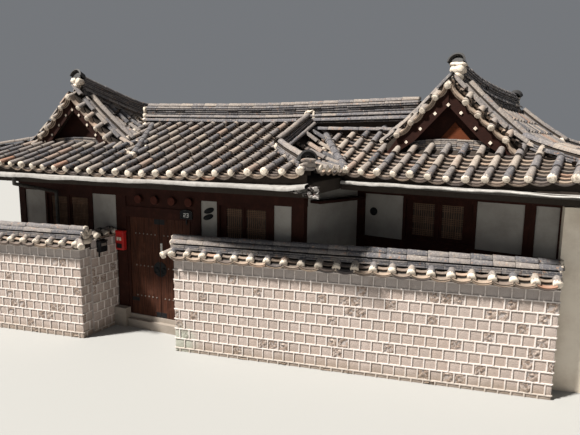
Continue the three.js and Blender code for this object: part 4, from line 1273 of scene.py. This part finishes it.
for kind, shape in enumerate(plate_shapes):
    if kind < plain_kinds:
        name, material = f"dressed_blocks_{kind + 1}", granite_grey
    else:
        name, material = f"carved_blocks_{kind + 1 - plain_kinds}", carved_grey
    fit_many(name, shape, plates[kind], material, 55)
fit_many("raised_joints", joint_shape, joints, joint_white)
repaint(granite_grey, "street_wall_left", "street_wall_right", "return_wall_left", "return_wall_right")

rough_render = Finish("yellowed_render")
cloud = rough_render.noise(1.6, 6, 0.7)
shade = rough_render.mix(rough_render.step(cloud, 0.35, 0.7), (0.86, 0.775, 0.655), (0.70, 0.61, 0.50))
render_yellow = rough_render.done(shade, 0.92, rough_render.noise(80.0, 4, 0.7) + cloud, 0.004)
repaint(render_yellow, "rendered_wall")


# Wall copings: hollow and cover tiles lie across the wall tops with white lime on their ends. Flat courses
# and two rounded courses run along the middle above them, under a rounded crown, and lime closes their free
# ends.
cross_covers, cross_pans, cross_plugs = Heap(), Heap(), Heap()
course_rolls, course_slabs, coping_lumps = Heap(), Heap(), Heap()
beds = bmesh.new()
coping_pitch = 0.311


def lay_coping(place, long, base, half, rise):
    """Tiles the top of one wall: place has x along its middle line and y across; base is the wall's top."""
    count = max(1, round(long / coping_pitch))
    for side in (-1, 1):
        for i in range(count + 1):
            x = long * i / count
            low = place @ Vector((x, side * half, base + 0.40 * rise))
            high = place @ Vector((x, side * half * 0.3, base + 0.80 * rise))
            size = sized(1.06, (high - low).length / roll_length, 1.06)
            cross_covers.add(tilted(low, high, 0.0, give(0.04)) @ size, tone())
            cross_plugs.add(tilted(low, high, 0.0) @ sized(1.15, 1.0, 1.15))
            if i == count:
                continue
            middle = x + long / count / 2
            low = place @ Vector((middle, side * (half + 0.015), base + 0.13 * rise))
            high = place @ Vector((middle, side * half * 0.3, base + 0.60 * rise))
            for drop, back in ((0.0, 0.0), (-0.024, -0.014), (0.02, 0.11)):
                stacked = tilted(low, high, drop) @ Matrix.Translation((0, back, 0))
                cross_pans.add(stacked @ sized(long / count / coping_pitch, 1.15, 0.9), tone())


def run_course(place, first, last, y, z, low_tone, high_tone, wide=1.0):
    """A rounded course along the wall."""
    line = [place @ Vector((first, y, z)), place @ Vector((last, y, z))]
    rounded(line, 0.0, 0.0, low_tone, high_tone, wide, course_rolls, 0.02, 0.005)


def run_flat(place, first, last, z, wide):
    """A flat course along the wall."""
    for low, high in walk([place @ Vector((first, 0, z)), place @ Vector((last, 0, z))], slab_pitch):
        size = sized(wide, (high - low).length / slab_length, 1)
        course_slabs.add(tilted(low, high, 0.0, give(0.02), give(0.01)) @ size, 0.5 * tone())


for first, last, base in ((wall_from - 0.06, wall_to, wall_top), (wall_left, 0.06, left_top)):
    place = street_place @ Matrix.Translation((first, wall_thick / 2, 0))
    long = last - first
    bed_bm = bmesh.new()
    block(bed_bm, (0.02, -0.155, base), (long - 0.02, 0.155, base + 0.11), 0.0)
    block(bed_bm, (0.02, -0.085, base + 0.08), (long - 0.02, 0.085, base + 0.36), 0.0)
    add_in(beds, bed_bm, place)
    lay_coping(place @ Matrix.Translation((0.07, 0, 0)), long - 0.14, base, 0.262, 0.28)
    # one more cover tile points outwards over the corner beside the gate
    corner, out = (0.0, -1) if first > 0 else (long, 1)
    low = place @ Vector((corner + out * 0.11, -0.30, base + 0.095))
    high = place @ Vector((corner - out * 0.10, -0.09, base + 0.215))
    cross_covers.add(tilted(low, high, 0.0) @ sized(1, (high - low).length / roll_length, 1), 0.7)
    cross_plugs.add(tilted(low, high, 0.0) @ sized(1.08, 1.0, 1.08))
    for z, wide in ((0.215, 0.34), (0.245, 0.32), (0.275, 0.30)):
        run_flat(place, 0.0, long, base + z, wide)
    for side in (-1, 1):
        run_course(place, -0.01, long + 0.01, side * 0.082, base + 0.32, 0.0, 0.62, 1.12)
    run_course(place, -0.01, long + 0.01, 0.0, base + 0.395, 0.0, 0.42, 1.18)
    end_lumps = ((0.0, 0.40, 0.12), (-0.08, 0.32, 0.13), (0.08, 0.32, 0.13), (0.0, 0.27, 0.2),
                 (0.0, 0.15, 0.26))
    for end in (0.0, long):
        for y, z, size in end_lumps:
            coping_lumps.add(place @ Matrix.Translation((end, y, base + z)) @ sized(0.08, size, 0.12))
for name, x in (("return_coping_left", -1.292), ("return_coping_right", 1.025)):
    low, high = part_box(name)
    place = standing(x, low.y, 90)
    long = high.y - low.y
    lay_coping(place @ Matrix.Translation((0.08, 0, 0)), long - 0.16, low.z, 0.175, 0.16)
    run_flat(place, 0.02, long, low.z + 0.10, 0.2)
    run_course(place, 0.02, long - 0.01, 0.0, low.z + 0.125, 0.1, 0.6)
repaint(bed_clay_and_painted_shade, "return_coping_left", "return_coping_right")

fit_shape("coping_beds", beds, bed_clay_and_painted_shade, stands_for=["coping_left", "coping_right"])
fit_many("coping_cross_covers", cover_shape, cross_covers, tile_clay)
fit_many("coping_cross_pans", pan_shape, cross_pans, pan_clay)
fit_many("coping_plugs", plug_shape, cross_plugs, lime_white, sharp=80, lumpy=0.007)
fit_many("coping_rounds", cover_shape, course_rolls, tile_clay)
fit_many("coping_courses", slab_shape, course_slabs, tile_clay)
fit_many("coping_lime", lump_shape, coping_lumps, lime_white, sharp=80, lumpy=0.025)


# Rainwater: half-round gutters and a downpipe of galvanised tin hang from the eaves on the street side. The
# tin is dull and streaked, and the main gutter's right end is bent where it meets the wing's gutter.
tin = Finish("galvanised_tin")
spangle = tin.noise(9.0, 5, 0.65)
shade = tin.mix(tin.step(spangle, 0.35, 0.7), (0.41, 0.395, 0.375), (0.29, 0.275, 0.258))
shade = tin.wash(shade, tin.noise(5.0, 6, 0.7), 0.58, 0.7, 0.5, (0.16, 0.11, 0.08))
tin_grey = tin.done(shade, 0.5 + 0.3 * spangle, spangle, 0.002, 0.15)
dull = Finish("tarnished_tin")
film = dull.noise(30.0, 5, 0.7)
shade = dull.mix(dull.step(film, 0.4, 0.7), (0.070, 0.066, 0.060), (0.032, 0.029, 0.026))
tin_dull = dull.done(shade, 0.6 + 0.2 * film, film, 0.002, 0.3)
repaint(tin_dull, "gutter_main", "gutter_wing", "downpipe")
repaint(dark_beam, "canopy")
tin_thick = 0.002


def apron(name, place, long, section, rise):
    """A bent strip of sheet along a gutter: section is its fall to the front, rise its end's upward kink."""
    bm = bmesh.new()
    bmesh.ops.create_grid(bm, x_segments=90, y_segments=len(section) - 1, size=0.5)
    for v in bm.verts:
        along = v.co.x + 0.5
        forward, up, narrow = section[round((v.co.y + 0.5) * (len(section) - 1))]
        x = along * long
        dent = noise.noise((x * 1.6, forward * 3, 4.0)) * 0.022
        dent += noise.noise((x * 7, forward * 9, 9.0)) * 0.007
        kink = max(0.0, (along - 0.94) / 0.06) ** 2
        y = -forward + dent * 0.6 - kink * 0.03
        v.co = (x, y, up + narrow * along + dent * min(1, forward * 9) + kink * rise)
    bm.normal_update()
    bmesh.ops.solidify(bm, geom=everything(bm), thickness=tin_thick)
    fit_shape(name, bm, tin_grey, place)


# each row of a section: how far forward, how high, and how much higher at the far end
main_section = [(-0.02, 3.385, 0.0), (0.075, 3.372, 0.0), (0.137, 3.362, 0.0), (0.145, 3.330, 0.008),
                (0.139, 3.292, 0.020)]
wing_section = [(0.050, 3.388, 0.0), (0.100, 3.384, 0.0), (0.138, 3.379, 0.0), (0.144, 3.358, 0.012),
                (0.139, 3.332, 0.032)]
apron("main_apron", standing(-5.217, -1.05), 9.02, main_section, 0.05)
apron("wing_apron", wing_frame @ standing(0.06, 0.0), 4.54, wing_section, 0.0)

# the torn and crumpled sheet that hangs from the main gutter's right end
crumpled = bmesh.new()
bmesh.ops.create_grid(crumpled, x_segments=56, y_segments=22, size=0.5)
for v in crumpled.verts:
    x, y = v.co.x + 0.5, v.co.y + 0.5
    fold = abs(noise.noise((x * 5, y * 3, 1.0))) + 0.4 * abs(noise.noise((x * 11, y * 8, 7.0)))
    hang = (1 - y) * (0.05 + 0.10 * x + 0.03 * noise.noise((x * 9, 0.0, 5.0)))
    wrinkle = 0.02 * noise.noise((x * 9, y * 9, 2.0))
    v.co = (x * 0.50 + wrinkle, -0.16 * fold + 0.03 * y, 0.02 * fold - hang + 0.05 * x * y)
crumpled.normal_update()
bmesh.ops.solidify(crumpled, geom=everything(crumpled), thickness=tin_thick)
# painted light and shade: dark and pale bands stand for the lit and shaded facets of the crumpled folds
torn = Finish("crumpled_tin_painted_folds")
fold_shade_and_bump = torn.noise(1.0, 4, 0.6, torn.stretched((7.0, 7.0, 16.0)))
shade = torn.mix(torn.step(fold_shade_and_bump, 0.44, 0.54), (0.040, 0.034, 0.031), (0.50, 0.47, 0.45))
shade = torn.wash(shade, torn.noise(15.0, 4), 0.58, 0.66, 0.6, (0.130, 0.035, 0.030))
tin_with_painted_folds = torn.done(shade, 0.45 + 0.3 * fold_shade_and_bump, fold_shade_and_bump, 0.003, 0.25)
fit_shape("crumpled_sheet", crumpled, tin_with_painted_folds,
          Matrix.Translation((3.50, -1.10, 3.345)), 20)


# Fittings at the gate: a red sheet steel call box, a black meter box, a dark number plate with a pale rim,
# two slanted dark ovals and a black ventilation cover. Each is screwed straight onto the timber, stone or
# plaster that carries it.
def boxes(name, material, slot, *sizes, stands_for=()):
    """Shows squared blocks as one piece; a size is two corners and how far the edges are eased."""
    bm = bmesh.new()
    for first, last, edge in sizes:
        block(bm, first, last, edge)
    fit_shape(name, bm, material, stands_for=stands_for)


red = Finish("red_enamel")
fade = red.noise(7.0, 5, 0.7)
shade = red.mix(red.step(fade, 0.4, 0.75), (0.50, 0.018, 0.016), (0.30, 0.022, 0.018))
shade = red.wash(shade, red.noise(60.0, 4, 0.7), 0.62, 0.7, 0.7, (0.10, 0.05, 0.04))
red_enamel = red.done(shade, 0.38 + 0.2 * fade, fade, 0.001)
low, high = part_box("call_box")
front = low.y
boxes("call_box_shell", red_enamel, "red_paint",
      (low, high - lift(0.02), 0.012),
      ((low.x - 0.006, front - 0.008, high.z - 0.05), (high.x + 0.006, high.y, high.z), 0.008),
      ((low.x + 0.02, front - 0.008, low.z + 0.03), (high.x - 0.02, front + 0.002, low.z + 0.17), 0.004),
      ((low.x + 0.03, front - 0.006, low.z + 0.20), (high.x - 0.03, front + 0.002, low.z + 0.30), 0.004),
      stands_for=["call_box"])
boxes("call_box_labels", lime_white, "plaster",
      ((low.x + 0.045, front - 0.010, low.z + 0.215), (low.x + 0.105, front - 0.005, low.z + 0.285), 0.001),
      ((low.x + 0.115, front - 0.010, low.z + 0.215), (low.x + 0.170, front - 0.005, low.z + 0.285), 0.001))
boxes("call_box_opening", forged, "black_iron",
      ((low.x + 0.034, front - 0.011, low.z + 0.045), (high.x - 0.034, front - 0.006, low.z + 0.150), 0.002))

# the number plate: an arched plate with a raised rim and two figures, whose strokes lie on a grid of 4 by 7
low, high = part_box("number_plate")
sign = bmesh.new()
rim = bmesh.new()
middle = (low.x + high.x) / 2
for bm, inset, front in ((sign, 0.0, low.y + 0.004), (rim, 0.008, low.y)):
    half = (high.x - low.x) / 2 - inset
    spring = high.z - 0.035 - inset
    arch = [(middle - half * math.cos(math.radians(a)), spring + 0.05 * math.sin(math.radians(a)))
            for a in range(0, 181, 15)]
    outline = [(middle - half, low.z + inset), *arch, (middle + half, low.z + inset)]
    face = bm.faces.new([bm.verts.new((x, front, z)) for x, z in outline])
    if bm is rim:
        bmesh.ops.inset_individual(bm, faces=[face], thickness=0.009)
        bmesh.ops.delete(bm, geom=[face], context="FACES_ONLY")
    thickened(bm, (0, high.y - front if bm is sign else 0.006, 0))
block(sign, (middle - 0.012, low.y + 0.004, low.z - 0.11), (middle + 0.020, high.y, low.z + 0.004), 0.003)
strokes = {"2": ((0, 6, 4, 7), (0, 3, 4, 4), (0, 0, 4, 1), (3, 3, 4, 7), (0, 0, 1, 4)),
           "3": ((0, 6, 4, 7), (1, 3, 4, 4), (0, 0, 4, 1), (3, 0, 4, 7))}
cell_wide, cell_tall = 0.013, 0.012
for digit, left in (("2", middle - 0.062), ("3", middle + 0.010)):
    for a, b, c, d in strokes[digit]:
        block(rim, (left + a * cell_wide, low.y, low.z + 0.04 + b * cell_tall),
              (left + c * cell_wide, low.y + 0.006, low.z + 0.04 + d * cell_tall), 0.0)
sign_white = Finish("sign_white")
scuff = sign_white.noise(40.0, 4, 0.7)
shade = sign_white.mix(sign_white.step(scuff, 0.5, 0.7), (0.86, 0.86, 0.82), (0.60, 0.59, 0.55))
figure_white = sign_white.done(shade, 0.5, scuff, 0.001)
fit_shape("number_sign", sign, forged, stands_for=["number_plate"])
fit_shape("number_figures", rim, figure_white)

# the meter box on the left return wall, with a hood, a hasp, a rubbed iron strip for its glass and a short
# pipe out of its foot
low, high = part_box("meter_box")
meter = bmesh.new()
block(meter, low, high - Vector((0.012, 0, 0.012)), 0.012)
block(meter, (low.x, low.y - 0.006, high.z - 0.03), (high.x, high.y + 0.006, high.z), 0.008)
hasp_low = (high.x - 0.018, low.y + 0.09, low.z + 0.04)
hasp_high = (high.x - 0.002, low.y + 0.12, low.z + 0.09)
block(meter, hasp_low, hasp_high, 0.003)
bmesh.ops.create_cone(meter, cap_ends=True, segments=14, radius1=0.014, radius2=0.014, depth=0.12,
                      matrix=Matrix.Translation((low.x + 0.03, low.y + 0.05, low.z - 0.05)))
fit_shape("meter_case", meter, forged, stands_for=["meter_box"])
boxes("meter_strip", rubbed_iron, "black_iron",
      ((high.x - 0.016, low.y + 0.035, low.z + 0.13), (high.x - 0.006, high.y - 0.035, low.z + 0.19), 0.003))

# two slanted dark ovals beside the gate, and a round dark ventilation cover on the wing's first panel
ovals_and_vent = bmesh.new()
slant = spun(math.radians(-20), "Y")
wing_vent = wing_frame @ Matrix.Translation((0.157, 1.085, 2.71))
oval_and_vent_parts = []
for x, z in ((1.235, 2.705), (1.215, 2.575)):
    oval_and_vent_parts.append((24, 12, Matrix.Translation((x, 0.03, z)) @ slant @ sized(0.125, 0.035, 0.055)))
    oval_and_vent_parts.append((20, 8, Matrix.Translation((x, 0.0, z)) @ slant @ sized(0.075, 0.016, 0.028)))
oval_and_vent_parts.append((24, 12, wing_vent @ sized(0.085, 0.045, 0.085)))
oval_and_vent_parts.append((20, 8, wing_vent @ Matrix.Translation((0, -0.04, 0)) @ sized(0.045, 0.016, 0.045)))
for around, upward, place in oval_and_vent_parts:
    bmesh.ops.create_uvsphere(ovals_and_vent, u_segments=around, v_segments=upward, radius=1, matrix=place)
fit_shape("dark_ovals_and_vent", ovals_and_vent, forged, sharp=60)
